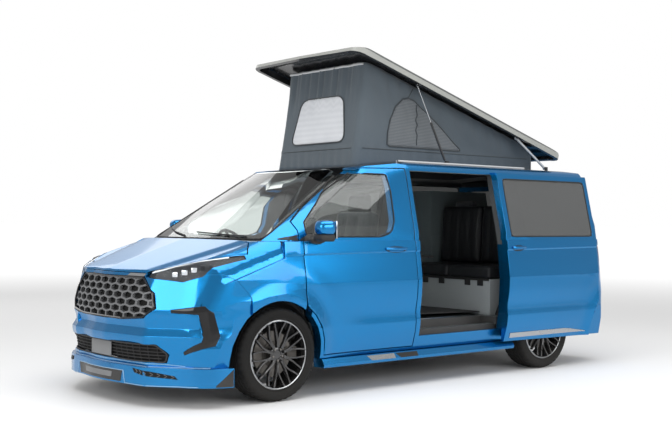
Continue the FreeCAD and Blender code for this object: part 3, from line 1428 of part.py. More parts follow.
def awning_rail():
    """Awning rail along the left gutter, a round tube open downward in a slot."""
    x0, x1 = s.slide_open_aft - 555, s.slide_open_fore + 50
    y, z = s.arm_y + 66, s.roof_edge_z + 8
    tube = bar((x0, y, z), (x1, y, z), s.rail_radius)
    tube = tube.cut(bar((x0 - 5, y, z), (x1 + 5, y, z), s.rail_radius - 3))
    tube = tube.cut(block(x0 - 5, x1 + 5, y - 2, y + 2, z - 20, z))
    foot = block(x0, x1, y - 24, y - 6, z - 24, z + 6).cut(OUTER)
    rail = solids(tube.fuse(foot))
    rail.translate(Vector(0, 0, s.seat_gap))
    return rail


finish("awning_rail", awning_rail())


# Slide rail and carriers
def slide_gear():
    """Middle guide rail on the body side with the carrier that holds the open sliding door."""
    y = s.half_width - 34
    rail = block(s.slide_open_aft - 1040, s.slide_open_aft - 40, y - 2, y + 8, 1172, 1190)
    carrier = block(s.slide_open_aft - 150, s.slide_open_aft - 90, y - 1, s.half_width + 5, 1176, 1186)
    return solids(rail.fuse(carrier).cut(made_shape("side_left")).cut(made_shape("sliding_door")))


def made_shape(label):
    """Shape of a finished sub-part."""
    for piece in made:
        if piece.Label == label:
            return piece.Shape
    return None


finish("slide_rail", slide_gear())


# Output
os.makedirs("parts", exist_ok=True)
doc.recompute()
for item in doc.Objects:
    if "Invalid" in item.State or "Error" in item.State:
        raise SystemExit(f"{item.Label} is {item.State}")
for piece in made:
    shape = piece.Shape
    if shape.isNull() or not shape.isValid() or not shape.Solids:
        raise SystemExit(f"{piece.Label} has no valid solid")
    shape.exportStep(f"parts/{piece.Label}.step")
print(f"{len(made)} sub-parts written")
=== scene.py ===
import bmesh
import bpy
import json
import math
from mathutils import Matrix, Vector


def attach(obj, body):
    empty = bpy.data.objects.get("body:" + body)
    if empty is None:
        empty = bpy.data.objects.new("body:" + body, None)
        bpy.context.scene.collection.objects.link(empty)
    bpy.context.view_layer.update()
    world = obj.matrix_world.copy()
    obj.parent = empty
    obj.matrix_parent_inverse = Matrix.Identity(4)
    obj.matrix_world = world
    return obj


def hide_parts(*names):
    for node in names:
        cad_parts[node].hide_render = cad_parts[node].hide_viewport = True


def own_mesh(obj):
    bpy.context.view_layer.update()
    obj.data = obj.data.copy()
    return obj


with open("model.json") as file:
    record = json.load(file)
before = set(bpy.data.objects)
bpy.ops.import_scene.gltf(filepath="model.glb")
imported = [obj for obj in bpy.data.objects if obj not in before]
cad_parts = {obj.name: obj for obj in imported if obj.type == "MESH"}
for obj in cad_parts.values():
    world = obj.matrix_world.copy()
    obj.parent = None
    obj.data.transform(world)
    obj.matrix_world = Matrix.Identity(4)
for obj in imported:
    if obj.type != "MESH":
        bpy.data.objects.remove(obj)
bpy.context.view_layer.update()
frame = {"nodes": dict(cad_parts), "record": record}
slot_of = {part["node"]: part["material_slot"] for part in frame["record"]["subparts"]}

# Places and directions that many pieces share, in metres: x forward, y to the left, z up.
AXLE_X, WHEEL_Y, WHEEL_Z, ARCH_Z = 1.55, 0.872, 0.352, 0.335
BELT_SLOPE, SHOULDER_Z = -0.012, 1.118
DOOR_SLIDE, RAY_START = 1.042, 3.0
FROM_AHEAD, FROM_BEHIND, FROM_ABOVE = (-1, 0, 0), (1, 0, 0), (0, 0, -1)
FROM_LEFT, FROM_RIGHT = (0, -1, 0), (0, 1, 0)
SIDES = (("left", 1, FROM_LEFT), ("right", -1, FROM_RIGHT))
WHITE = (1.0, 1.0, 1.0, 1)


# Shader helpers
def surface(name):
    """A new material, its node tree and its main shader."""
    made = bpy.data.materials.new(name)
    made.use_nodes = True
    return made, made.node_tree, made.node_tree.nodes["Principled BSDF"]


def fill(tree, node, values):
    """Sets a node's inputs, each to a plain value or to another node's output."""
    for key, value in values.items():
        if isinstance(value, bpy.types.NodeSocket):
            tree.links.new(value, node.inputs[key])
        else:
            node.inputs[key].default_value = value


def add(tree, kind, values=None, **settings):
    """One new shader node with its settings and inputs."""
    node = tree.nodes.new("ShaderNode" + kind)
    for key, value in settings.items():
        setattr(node, key, value)
    fill(tree, node, values or {})
    return node


def maths(tree, operation, *operands, clamp=False):
    """Output of one sum on plain values and other nodes' outputs."""
    return add(tree, "Math", dict(enumerate(operands)), operation=operation, use_clamp=clamp).outputs[0]


def blend(tree, share, first, second):
    """Output of a mix of two colours, each plain or another node's output."""
    first, second = [colour if isinstance(colour, bpy.types.NodeSocket) else (*colour, 1)
                     for colour in (first, second)]
    return add(tree, "Mix", {"Factor": share, "A": first, "B": second}, data_type="RGBA").outputs["Result"]


def ramp(tree, value, start, end):
    """Output of a value from 0 to 1, spread from start to end."""
    return add(tree, "MapRange", {"Value": value, "To Min": start, "To Max": end}).outputs[0]


def group(name, inputs, outputs):
    """An empty shader group with named value inputs and outputs."""
    tree = bpy.data.node_groups.new(name, "ShaderNodeTree")
    for label, value in inputs.items():
        socket = tree.interface.new_socket(label, in_out="INPUT", socket_type="NodeSocketFloat")
        socket.default_value = value
    for label in outputs:
        tree.interface.new_socket(label, in_out="OUTPUT", socket_type="NodeSocketFloat")
    return tree, tree.nodes.new("NodeGroupInput").outputs, tree.nodes.new("NodeGroupOutput")


# Mesh helpers
def placed(name, data):
    """A new object of the scene."""
    made = bpy.data.objects.new(name, data)
    bpy.context.scene.collection.objects.link(made)
    return made


def built(name, shape):
    """An object made of a finished bmesh."""
    mesh = bpy.data.meshes.new(name)
    shape.to_mesh(mesh)
    shape.free()
    return placed(name, mesh)


def only(piece):
    """Selects one object and makes it active."""
    bpy.ops.object.select_all(action="DESELECT")
    piece.select_set(True)
    bpy.context.view_layer.objects.active = piece


def edit(piece):
    """Opens one object with all of it selected."""
    only(piece)
    bpy.ops.object.mode_set(mode="EDIT")
    bpy.ops.mesh.select_all(action="SELECT")


def close_edit():
    """Closes the object that is open."""
    bpy.ops.object.mode_set(mode="OBJECT")


def modify(piece, kind, **settings):
    """Applies one modifier to a piece."""
    only(piece)
    made = piece.modifiers.new(kind.lower(), kind)
    for key, value in settings.items():
        setattr(made, key, value)
    bpy.ops.object.modifier_apply(modifier=made.name)


def shade(piece, angle):
    """Shades a piece smooth up to an angle in degrees."""
    only(piece)
    bpy.ops.object.shade_smooth_by_angle(angle=math.radians(angle))


def soften(piece, width, segments=2, angle=30.0, smooth_to=35.0):
    """Rounds a made piece's edges and shades it smooth."""
    modify(piece, "BEVEL", width=width, segments=segments, limit_method="ANGLE",
           angle_limit=math.radians(angle))
    shade(piece, smooth_to)
    return piece


def crisp(piece, width=0.0022, angle=32.0):
    """Rounds the sharp edges of a carried-over solid a little and shades it evenly."""
    if width:
        modify(piece, "BEVEL", width=width, segments=2, limit_method="ANGLE", angle_limit=math.radians(angle),
               use_clamp_overlap=False, harden_normals=False)
    shade(piece, angle)
    modify(piece, "WEIGHTED_NORMAL", keep_sharp=True)
    return piece


def closed_copy(node, name):
    """One carried-over solid as a closed mesh of its own, its flat faces whole again."""
    piece = placed(name, frame["nodes"][node].data.copy())
    piece.data.materials.clear()
    edit(piece)
    bpy.ops.mesh.remove_doubles(threshold=0.00005)
    bpy.ops.mesh.dissolve_limited(angle_limit=math.radians(0.3))
    close_edit()
    return piece


def carry(piece, body, coat=None, node=None, slot=None):
    """Gives a piece its finish and body, and hides the solid that it stands for where it has one."""
    if coat:
        piece.data.materials.append(coat)
    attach(piece, body)
    if node:
        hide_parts(node)
    slot or slot_of[node]
    return piece


def cut_at(shape, place, way, clear=False, dist=0.00002):
    """Cuts a bmesh by the plane through a place, and can clear what lies beyond it."""
    everything = shape.verts[:] + shape.edges[:] + shape.faces[:]
    bmesh.ops.bisect_plane(shape, geom=everything, dist=dist, plane_co=place, plane_no=way, clear_outer=clear)


def band(piece, normal, places):
    """Cuts a piece into bands by planes square to normal at the given distances."""
    way = Vector(normal).normalized()
    shape = bmesh.new()
    shape.from_mesh(piece.data)
    for place in places:
        cut_at(shape, way * place, way)
    shape.to_mesh(piece.data)
    shape.free()


def quads(shape, grid):
    """Faces between neighbouring rows of vertices."""
    for row, after in zip(grid, grid[1:]):
        for a, b, c, d in zip(row, row[1:], after[1:], after):
            shape.faces.new((a, b, c, d))
    bmesh.ops.recalc_face_normals(shape, faces=shape.faces[:])


def merge(name, parts):
    """Several pieces as one object."""
    only(parts[0])
    for part in parts:
        part.select_set(True)
    bpy.ops.object.join()
    bpy.context.object.name = name
    return bpy.context.object


def duplicate(piece, name):
    """A copy with its own mesh."""
    return placed(name, piece.data.copy())


def flip_side(piece):
    """Turns a left piece into its right twin."""
    for vertex in piece.data.vertices:
        vertex.co.y = -vertex.co.y
    edit(piece)
    bpy.ops.mesh.flip_normals()
    close_edit()


def lathe(name, profile, segments, coat):
    """A ring turned about the Y axis from its (radius, y) corners."""
    bpy.ops.mesh.primitive_circle_add(vertices=len(profile), radius=1, fill_type="NOTHING")
    ring = bpy.context.object
    ring.name = name
    for vertex, (radius, y) in zip(ring.data.vertices, profile):
        vertex.co = (0, y, radius)
    edit(ring)
    bpy.ops.mesh.spin(steps=segments, angle=2 * math.pi, center=(0, 0, 0), axis=(0, 1, 0))
    bpy.ops.mesh.select_all(action="SELECT")
    bpy.ops.mesh.remove_doubles(threshold=0.00002)
    bpy.ops.mesh.normals_make_consistent(inside=False)
    close_edit()
    ring.data.materials.append(coat)
    return ring


def plate(name, corners, depth, plane, level, coat, rounding=0.0):
    """A flat outline in the plane xz, yz or xy, given depth from a level on the third axis."""
    first, second, third = {"xz": (0, 2, 1), "yz": (1, 2, 0), "xy": (0, 1, 2)}[plane]
    bpy.ops.mesh.primitive_circle_add(vertices=len(corners), radius=1, fill_type="NGON")
    flat = bpy.context.object
    flat.name = name
    for vertex, (a, b) in zip(flat.data.vertices, corners):
        vertex.co[first], vertex.co[second], vertex.co[third] = a, b, level
    grow = [0.0, 0.0, 0.0]
    grow[third] = depth
    edit(flat)
    bpy.ops.mesh.extrude_region_move(TRANSFORM_OT_translate={"value": grow})
    bpy.ops.mesh.select_all(action="SELECT")
    bpy.ops.mesh.normals_make_consistent(inside=False)
    close_edit()
    if rounding:
        soften(flat, rounding)
    flat.data.materials.append(coat)
    return flat


def oblong(a0, b0, a1, b1):
    """Corners of a flat rectangle."""
    return [(a0, b0), (a1, b0), (a1, b1), (a0, b1)]


def cube(name, size=1.0, form=Matrix()):
    """A cube, stretched, turned and moved by a matrix."""
    bpy.ops.mesh.primitive_cube_add(size=size)
    made = bpy.context.object
    made.name = name
    made.data.transform(form)
    return made


def peg(place, radius, depth, sides, rounding, coat):
    """A short round or many-sided peg that lies along Y."""
    bpy.ops.mesh.primitive_cylinder_add(vertices=sides, radius=radius, depth=depth, location=place,
                                        rotation=(math.pi / 2, 0, 0))
    made = bpy.context.object
    bpy.ops.object.transform_apply(location=True, rotation=True, scale=True)
    soften(made, rounding)
    made.data.materials.append(coat)
    return made


# Lines and places
def smooth(value, start, end):
    """0 at start, 1 at end, with a soft start and stop."""
    part = min(1.0, max(0.0, (value - start) / (end - start)))
    return part * part * (3 - 2 * part)


def evenly(start, end, count):
    """Places from start to end, both included, count equal steps apart."""
    return [start + (end - start) * k / count for k in range(count + 1)]


def steps(start, end, pitch):
    """Evenly spaced places between two ends, about pitch apart."""
    return evenly(start, end, max(1, round((end - start) / pitch)))[1:-1]


def dent(value, middle, width):
    """1 at the middle, fading to 0 on both sides."""
    return math.exp(-((value - middle) / width) ** 2)


def rounded(corners, radius, segments=5):
    """A closed flat outline with its corners rounded."""
    corners = [Vector(corner) for corner in corners]
    result = []
    for before, corner, after in zip(corners[-1:] + corners, corners, corners[1:] + corners[:1]):
        back, ahead = before - corner, after - corner
        reach = min(radius, back.length / 2.01, ahead.length / 2.01)
        start, end = corner + back.normalized() * reach, corner + ahead.normalized() * reach
        result += [(1 - t) ** 2 * start + 2 * t * (1 - t) * corner + t * t * end
                   for t in evenly(0, 1, segments)]
    return result


def dense(points, pitch, closed=True):
    """More points along the same line, about pitch apart."""
    points = [Vector(point) for point in points]
    result = []
    for point, after in zip(points, points[1:] + points[:1] if closed else points[1:]):
        count = max(1, round((after - point).length / pitch))
        result += [point.lerp(after, k / count) for k in range(count)]
    return result if closed else result + points[-1:]


def along(line, count):
    """Places along a line of points, both ends included, count equal steps apart."""
    lengths = [(b - a).length for a, b in zip(line, line[1:])]
    places, k, run = [], 0, 0.0
    for want in evenly(0.0, sum(lengths), count):
        while k < len(lengths) - 1 and run + lengths[k] < want:
            run += lengths[k]
            k += 1
        places.append(line[k].lerp(line[k + 1], min(1.0, (want - run) / lengths[k])))
    return places


def lifted(place, way):
    """A flat place, (x, z) for rays from a side and (y, z) for rays from an end, as a point of space."""
    if len(place) == 3:
        return Vector(place)
    return Vector((place[0], 0, place[1]) if way[1] else (0, place[0], place[1]))


def onto(surfaces, point, way, stand=0.0):
    """Where a ray through the point first meets one of these surfaces, less a stand-off."""
    way, point = Vector(way).normalized(), Vector(point)
    hits = []
    for piece in surfaces:
        met, place, normal, face = piece.ray_cast(point - way * RAY_START, way)
        if met:
            hits.append(place)
    return min(hits, key=lambda place: place.dot(way)) - way * stand if hits else None


def laid(surfaces, points, way, stand=0.0):
    """The points laid on the surfaces; a point whose ray misses is left out."""
    found = [onto(surfaces, lifted(point, way), way, stand) for point in points]
    return [place for place in found if place is not None]


def strip(name, points, radius, coat, closed=False, resolution=1):
    """A round moulding along a line of points."""
    line = bpy.data.curves.new(name + "_line", "CURVE")
    line.dimensions = "3D"
    line.bevel_depth = radius
    line.bevel_resolution = resolution
    line.use_fill_caps = not closed
    run = line.splines.new("POLY")
    run.points.add(len(points) - 1)
    for spot, point in zip(run.points, points):
        spot.co = (*point, 1)
    run.use_cyclic_u = closed
    made = placed(name, line)
    only(made)
    bpy.ops.object.convert(target="MESH")
    shade(made, 40)
    made.data.materials.append(coat)
    return made


def ribbon(name, upper, lower, surfaces, way, stand, thick, pitch, coat, body, slot):
    """A thin moulding laid on a surface between two lines of places, each found by a ray."""
    upper, lower = [[lifted(place, way) for place in line] for line in (upper, lower)]
    count = max(2, round(sum((b - a).length for a, b in zip(upper, upper[1:])) / pitch))
    rows = []
    for line in (upper, lower):
        found = [(onto(surfaces, spot, way, stand), spot) for spot in along(line, count)]
        rows.append([spot if place is None else place for place, spot in found])
    shape = bmesh.new()
    quads(shape, [[shape.verts.new(a.lerp(b, share)) for a, b in zip(*rows)] for share in (0, 0.5, 1)])
    made = built(name, shape)
    modify(made, "SOLIDIFY", thickness=thick, offset=0.0)
    shade(made, 40)
    return carry(made, body, coat, slot=slot)

# Camera
# Placed by matching the wheels, axles and body edges to the picture.
def aimed(place, way):
    """Matrix of a camera or lamp that stands at a place and looks along a way."""
    return Matrix.Translation(place) @ Vector(way).to_track_quat("-Z", "Y").to_matrix().to_4x4()


CAMERA_AT, CAMERA_HEADING = (6.317, 7.320, 1.341), math.radians(-130.0)
CAMERA_DIP, CAMERA_ROLL = -0.0008, 0.0073
camera_data = bpy.data.cameras.new("camera")
camera_data.sensor_width = 36.0
camera_data.lens = 56.68
camera_data.clip_end = 2000.0
camera = placed("camera", camera_data)
camera.matrix_world = (aimed(CAMERA_AT, (math.cos(CAMERA_HEADING), math.sin(CAMERA_HEADING), CAMERA_DIP))
                       @ Matrix.Rotation(CAMERA_ROLL, 4, "Z"))
bpy.context.scene.camera = camera

# Studio
# A wide pale floor that fades into the pale surroundings, a large soft lamp overhead, one long soft
# lamp along each side and one ahead of the nose.
bpy.context.scene.view_settings.view_transform = "Standard"
bpy.ops.mesh.primitive_plane_add(size=900.0, location=(0, 0, 0))
floor = bpy.context.object
floor.name = "stage_floor"
floor_finish, tree, shader = surface("studio_floor")
reach = add(tree, "VectorMath", {0: add(tree, "TexCoord").outputs["Object"]}, operation="LENGTH")
fade = add(tree, "MapRange", {"Value": reach.outputs["Value"], "From Min": 3.5, "From Max": 22.0,
                              "To Max": 0.58}, interpolation_type="SMOOTHSTEP")
fill(tree, shader, {"Base Color": (0.80, 0.80, 0.80, 1), "Roughness": 0.6, "Emission Color": WHITE,
                    "Emission Strength": fade.outputs[0]})
floor.data.materials.append(floor_finish)

world = bpy.data.worlds.new("studio")
bpy.context.scene.world = world
world.use_nodes = True
sky = world.node_tree
surroundings = sky.nodes["Background"]
fill(sky, surroundings, {"Color": WHITE, "Strength": 0.55})
backdrop = add(sky, "Background", {"Color": WHITE, "Strength": 1.0})
ray = add(sky, "LightPath").outputs
seen = maths(sky, "MAXIMUM", ray["Is Camera Ray"], ray["Is Transmission Ray"])
both = add(sky, "MixShader", {0: seen, 1: surroundings.outputs[0], 2: backdrop.outputs[0]})
fill(sky, sky.nodes["World Output"], {"Surface": both.outputs[0]})

for name, place, aim, size, watts in (
        ("overhead", (0.5, 1.5, 6.5), (0, 0, 1), (9, 5), 420),
        ("left_wall", (-0.5, 9.0, 3.2), (0, 0, 1.0), (9, 2.6), 330),
        ("right_wall", (-1.0, -9.0, 5.5), (0.8, 0, 1.3), (9, 3.6), 130),
        ("front_wall", (9.5, 1.5, 3.4), (1.5, 0, 0.9), (5, 3), 240)):
    lamp = bpy.data.lights.new(name, "AREA")
    lamp.shape = "RECTANGLE"
    lamp.size, lamp.size_y = size
    lamp.energy = watts
    placed(name, lamp).matrix_world = aimed(place, Vector(aim) - Vector(place))

# Paint
# Bright metallic blue under a clear coat.  Fine flake and a slow cloud move the blue a little, and
# dust from the road settles low on the panels.
dust_tree, given, dust_out = group(
    "road_dust", {"Low": 0.15, "High": 0.75, "Patch Scale": 3.0, "Amount": 0.3}, ["Mask"])
place = add(dust_tree, "TexCoord").outputs["Object"]
height = add(dust_tree, "SeparateXYZ", {0: place}).outputs["Z"]
rise = add(dust_tree, "MapRange", {"Value": height, "From Min": given["Low"], "From Max": given["High"],
                                   "To Min": 1.0, "To Max": 0.0}, interpolation_type="SMOOTHSTEP")
patch = add(dust_tree, "TexNoise", {"Detail": 6.0, "Vector": place, "Scale": given["Patch Scale"]})
spread = maths(dust_tree, "MULTIPLY", rise.outputs[0], patch.outputs["Fac"])
fill(dust_tree, dust_out, {"Mask": maths(dust_tree, "MULTIPLY", spread, given["Amount"], clamp=True)})

grain_tree, given, grain_out = group("fine_grain", {"Scale": 400.0, "Depth": 0.4}, ["Height", "Mask"])
place = add(grain_tree, "TexCoord").outputs["Object"]
specks = add(grain_tree, "TexNoise", {"Detail": 3.0, "Vector": place, "Scale": given["Scale"]}).outputs["Fac"]
cells = add(grain_tree, "TexVoronoi", {"Vector": place, "Scale": given["Scale"]}).outputs["Distance"]
height = maths(grain_tree, "MULTIPLY", maths(grain_tree, "MULTIPLY", specks, cells), given["Depth"])
fill(grain_tree, grain_out, {"Height": height, "Mask": specks})


def finish(name, colour, second, roughness=0.5, rough_swing=0.08, metallic=0.0, coat=0.0, specular=0.5,
           grain=(400.0, 0.0), bump=0.0, dust=(0.1, 0.6, 0.0), cloud=4.0):
    """A surface whose colour and gloss drift; grain is scale and depth, dust is low, high and amount."""
    made, tree, shader = surface(name)
    place = add(tree, "TexCoord").outputs["Object"]
    clouds = add(tree, "TexNoise", {"Scale": cloud, "Detail": 4.0, "Vector": place}).outputs["Fac"]
    grains = add(tree, "Group", {"Scale": grain[0], "Depth": grain[1]}, node_tree=grain_tree).outputs
    share = maths(tree, "MULTIPLY_ADD", clouds, 0.5, maths(tree, "MULTIPLY", grains["Mask"], 0.5))
    settled = add(tree, "Group", {"Low": dust[0], "High": dust[1], "Amount": dust[2]},
                  node_tree=dust_tree).outputs["Mask"]
    gloss = ramp(tree, clouds, max(0.02, roughness - rough_swing), roughness + rough_swing)
    fill(tree, shader, {
        "Base Color": blend(tree, settled, blend(tree, share, colour, second), (0.30, 0.28, 0.25)),
        "Roughness": maths(tree, "MULTIPLY_ADD", settled, 0.5, gloss, clamp=True),
        "Metallic": metallic, "Coat Weight": coat, "Coat Roughness": 0.04, "Specular IOR Level": specular})
    if bump:
        relief = add(tree, "Bump", {"Strength": bump, "Distance": 0.001, "Height": grains["Height"]})
        fill(tree, shader, {"Normal": relief.outputs[0]})
    return made


DARK = 0.28     # share of specular light on soft dark finishes
paint = finish("metallic_blue", (0.0, 0.205, 0.50), (0.0, 0.165, 0.42), 0.25, 0.04, metallic=0.9, coat=0.5,
               grain=(1800.0, 1.0), dust=(0.15, 0.5, 0.03), cloud=1.5)
gloss_black = finish("gloss_black", (0.008, 0.008, 0.009), (0.014, 0.014, 0.015), 0.12, 0.04, coat=0.2,
                     specular=DARK, grain=(900.0, 0.0), dust=(0.1, 0.5, 0.12))
moulded_black = finish("moulded_black", (0.020, 0.020, 0.021), (0.032, 0.032, 0.033), 0.55, specular=DARK,
                       grain=(700.0, 0.8), bump=0.35, dust=(0.1, 0.5, 0.2))
rubber_seal = finish("rubber_seal", (0.012, 0.012, 0.012), (0.02, 0.02, 0.02), 0.6, specular=DARK,
                     grain=(500.0, 0.5), bump=0.2)


# Body panels
# Sides, doors and wings are pressed steel.  Each is the solid's own shape, closed, cut into bands,
# and pressed: a shoulder line along the belt, a hollow low on the doors and a flare round each arch.
def arch_flare(ring):
    """How far the lip of a wheel arch stands out, at a distance from the arch's centre."""
    return 0.020 * (1 - smooth(ring, 0.455, 0.56)) * smooth(ring, 0.405, 0.43)


def side_relief(x, z):
    """How far the pressing stands out of, or in from, the plain side at a place on it."""
    below = SHOULDER_Z + BELT_SLOPE * x - z
    out = 0.0
    if below > 0:
        out -= 0.011 * math.exp(-below / 0.075) * smooth(below, -0.001, 0.012) * smooth(x, 1.55, 1.25)
    on_doors = smooth(x, 1.0, 0.62) * smooth(x, -1.22, -0.92)
    out -= 0.017 * on_doors * dent(z, 0.615, 0.085)
    if z < 0.44:
        out -= 0.10 * (0.44 - z) * on_doors
    if z > 0.2:
        for axle in (AXLE_X, -AXLE_X):
            ring = math.hypot(x - axle, z - ARCH_Z)
            out += arch_flare(ring)
            out += 0.005 * dent(ring, 0.66, 0.05) * smooth(z, 0.5, 0.9) * smooth(x, 1.5, 1.2)
    return out


def press(piece, shift=0.0):
    """Moves the outer face of a side panel to its relief and rounds the arch edges."""
    for vertex in piece.data.vertices:
        x, y, z = vertex.co
        way = 1.0 if y > 0 else -1.0
        if abs(y) < 0.62:
            continue
        for axle in (AXLE_X - shift, -AXLE_X - shift):
            ring = math.hypot(x - axle, z - ARCH_Z)
            if 0.4 < ring < 0.4225 and z > ARCH_Z:
                x = axle + (x - axle) * 0.42 / ring
                z = ARCH_Z + (z - ARCH_Z) * 0.42 / ring
        facing = vertex.normal.y * way
        if facing > 0.2 and z < 1.6:
            y += way * side_relief(x + shift, z) * smooth(facing, 0.2, 0.6)
        vertex.co = (x, y, z)


SHOULDER_CUTS = [SHOULDER_Z + rise for rise in (-0.045, -0.022, -0.011, 0.0, 0.03)]
panels = {}
for node, body, x0, x1, shift in (
        ("side_left", "body", -2.55, 1.70, 0.0), ("side_right", "body", -2.55, 1.70, 0.0),
        ("front_wings", "body", 1.30, 2.10, 0.0), ("door_left", "door_left", 0.10, 1.31, 0.0),
        ("door_right", "door_right", 0.10, 1.31, 0.0), ("sliding_door", "body", -2.25, -0.93, DOOR_SLIDE)):
    panel = closed_copy(node, node + "_pressed")
    up_pitch, along_pitch = (0.066, 0.11) if x1 - x0 > 2 else (0.04, 0.045)
    band(panel, (-BELT_SLOPE, 0, 1), SHOULDER_CUTS)
    band(panel, (0, 0, 1), steps(0.28, 1.08, up_pitch))
    band(panel, (1, 0, 0), steps(x0, x1, along_pitch))
    press(panel, shift)
    panels[node] = carry(crisp(panel), body, paint, node)

# Bonnet, bumpers, roof and tailgate
# The bonnet is one pressing with a raised centre between two long creases; the bumpers are moulded
# skins with a shelf under the grille; the roof and tailgate are plain pressings.
bonnet = closed_copy("bonnet", "bonnet_pressed")
band(bonnet, (1, 0, 0), steps(1.70, 2.50, 0.05))
band(bonnet, (0, 1, 0), steps(-0.90, 0.90, 0.03))
for vertex in bonnet.data.vertices:
    if vertex.normal.z > 0.25:
        x, across = vertex.co.x, abs(vertex.co.y)
        crease = 0.47 + 0.40 * (2.40 - x) / 0.70 * 0.62
        raised = 0.010 * (1 - smooth(across, crease, crease + 0.05))
        hollow = 0.008 * dent(across, crease + 0.09, 0.06)
        vertex.co.z += (raised - hollow) * smooth(vertex.normal.z, 0.25, 0.6) * smooth(2.50 - x, 0.0, 0.12)
panels["bonnet"] = carry(crisp(bonnet), "bonnet", paint, "bonnet")

bumper = closed_copy("front_bumper", "bumper_moulded")
band(bumper, (0, 0, 1), steps(0.29, 0.96, 0.028))
band(bumper, (0, 1, 0), steps(-0.95, 0.95, 0.06))
for vertex in bumper.data.vertices:
    x, y, z = vertex.co
    facing = vertex.normal
    if facing.xy.length < 0.3 or (x > 2.2 and facing.x < 0.05) or facing.x < -0.1 or facing.y * y < -0.05:
        continue
    shelf = (0.014 * dent(z, 0.505, 0.030) - 0.020 * dent(z, 0.575, 0.040)) * smooth(x, 1.95, 2.15)
    flare = arch_flare(math.hypot(x - AXLE_X, z - ARCH_Z)) if abs(y) > 0.8 else 0.0
    vertex.co += Vector((facing.x, facing.y, 0)).normalized() * shelf
    vertex.co.y += math.copysign(flare, y)
panels["front_bumper"] = carry(crisp(bumper), "body", paint, "front_bumper")

for node, body in (("roof_panel", "body"), ("tailgate", "tailgate"), ("rear_bumper", "body"),
                   ("side_skirts", "body"), ("front_splitter", "body")):
    panels[node] = carry(crisp(closed_copy(node, node + "_pressed")), body, paint, node)


# Glass
# Laminated windscreen and clear cab glass; dark privacy glass from the side door back.  Each pane is
# the solid's own, closed and shaded smooth, with a rubber seal along its outline.
def pane(name, tint, see_through, film_share, ior=1.45):
    """Tinted glass with a faint film that drifts over it."""
    made, tree, shader = surface(name)
    place = add(tree, "TexCoord").outputs["Object"]
    film = add(tree, "TexNoise", {"Scale": 2.0, "Vector": place}).outputs["Fac"]
    fill(tree, shader, {"Base Color": blend(tree, film, tint, [c * film_share for c in tint]),
                        "Roughness": ramp(tree, film, 0.01, 0.03), "IOR": ior,
                        "Transmission Weight": see_through})
    return made


def seal(name, corners, radius, surfaces, way, body, stand=0.0, size=0.0065):
    """A rubber seal that follows a window's outline on the panel."""
    points = laid(surfaces, dense(rounded(corners, radius), 0.06), way, stand)
    carry(strip(name, points, size, rubber_seal, closed=True), body, slot="dark_plastic")


clear_glass = pane("clear_glass", (0.86, 0.91, 0.89), 1.0, 0.97)
privacy_glass = pane("privacy_glass", (0.17, 0.175, 0.175), 0.55, 0.9)
glazed = {}
for node, body, glass in (("windscreen", "body", clear_glass), ("side_windows", "body", privacy_glass),
                          ("sliding_door_glass", "body", privacy_glass),
                          ("door_glass_left", "door_left", clear_glass),
                          ("door_glass_right", "door_right", clear_glass),
                          ("tailgate_glass", "tailgate", privacy_glass)):
    glazed[node] = carry(crisp(closed_copy(node, node + "_pane"), width=0, angle=24), body, glass, node)

cab_window = [(1.232, 1.232), (1.232, 1.34), (0.742, 1.752), (0.314, 1.752), (0.324, 1.362), (0.368, 1.268),
              (0.468, 1.232)]
side_window = [(0.047, 1.752), (0.047, 1.232), (-1.135, 1.232), (-1.135, 1.752)]
rear_window = [(-1.305, 1.752), (-1.305, 1.232), (-2.36, 1.238), (-2.31, 1.746)]
tail_window = [(0.792, 1.222), (0.672, 1.776), (-0.672, 1.776), (-0.792, 1.222)]
screen = [(0.780, 1.212), (0.775, 1.27), (0.616, 1.812), (-0.616, 1.812), (-0.775, 1.27), (-0.780, 1.212)]
for tag, side, inward in SIDES:
    seal(f"cab_window_seal_{tag}", cab_window, 0.03, [panels[f"door_{tag}"], glazed[f"door_glass_{tag}"]],
         inward, f"door_{tag}")
    seal(f"rear_quarter_seal_{tag}", rear_window, 0.05, [panels[f"side_{tag}"], glazed["side_windows"]],
         inward, "body")
seal("fixed_window_seal", side_window, 0.05, [panels["side_right"], glazed["side_windows"]],
     FROM_RIGHT, "body")
seal("sliding_window_seal", [(x - DOOR_SLIDE, z) for x, z in side_window], 0.05,
     [panels["sliding_door"], glazed["sliding_door_glass"]], FROM_LEFT, "body")
seal("tail_window_seal", tail_window, 0.05, [panels["tailgate"], glazed["tailgate_glass"]],
     FROM_BEHIND, "tailgate")
seal("screen_seal", screen, 0.03, [glazed["windscreen"]], FROM_AHEAD, "body", stand=-0.001, size=0.008)

# Wheels
# Cast alloy wheels with ten forked spokes, gloss black with a thin machined lip, on low-profile
# tyres.  One wheel is modelled facing left, and each of the four is its own copy.
SPOKES, BOLTS, TREAD_BLOCKS = 10, 5, 132
SPOKE_ROOT, SPOKE_TIP = 0.056, 0.2445
wheel_black = finish("wheel_black", (0.010, 0.010, 0.011), (0.02, 0.02, 0.022), 0.2, metallic=0.3, coat=0.8,
                     grain=(1200.0, 0.0), dust=(0.0, 0.5, 0.15))
machined = finish("machined_lip", (0.42, 0.43, 0.44), (0.30, 0.31, 0.32), 0.28, metallic=1.0,
                  grain=(900.0, 0.5), bump=0.1, dust=(0.0, 0.5, 0.1))
brake_iron = finish("brake_iron", (0.20, 0.19, 0.18), (0.12, 0.11, 0.10), 0.42, metallic=0.9,
                    grain=(300.0, 1.0), bump=0.3, dust=(0.0, 0.6, 0.3))
tyre_rubber = finish("tyre_rubber", (0.009, 0.009, 0.009), (0.017, 0.0165, 0.016), 0.72, specular=0.12,
                     grain=(600.0, 1.0), bump=0.4, dust=(0.0, 0.5, 0.06), cloud=9.0)

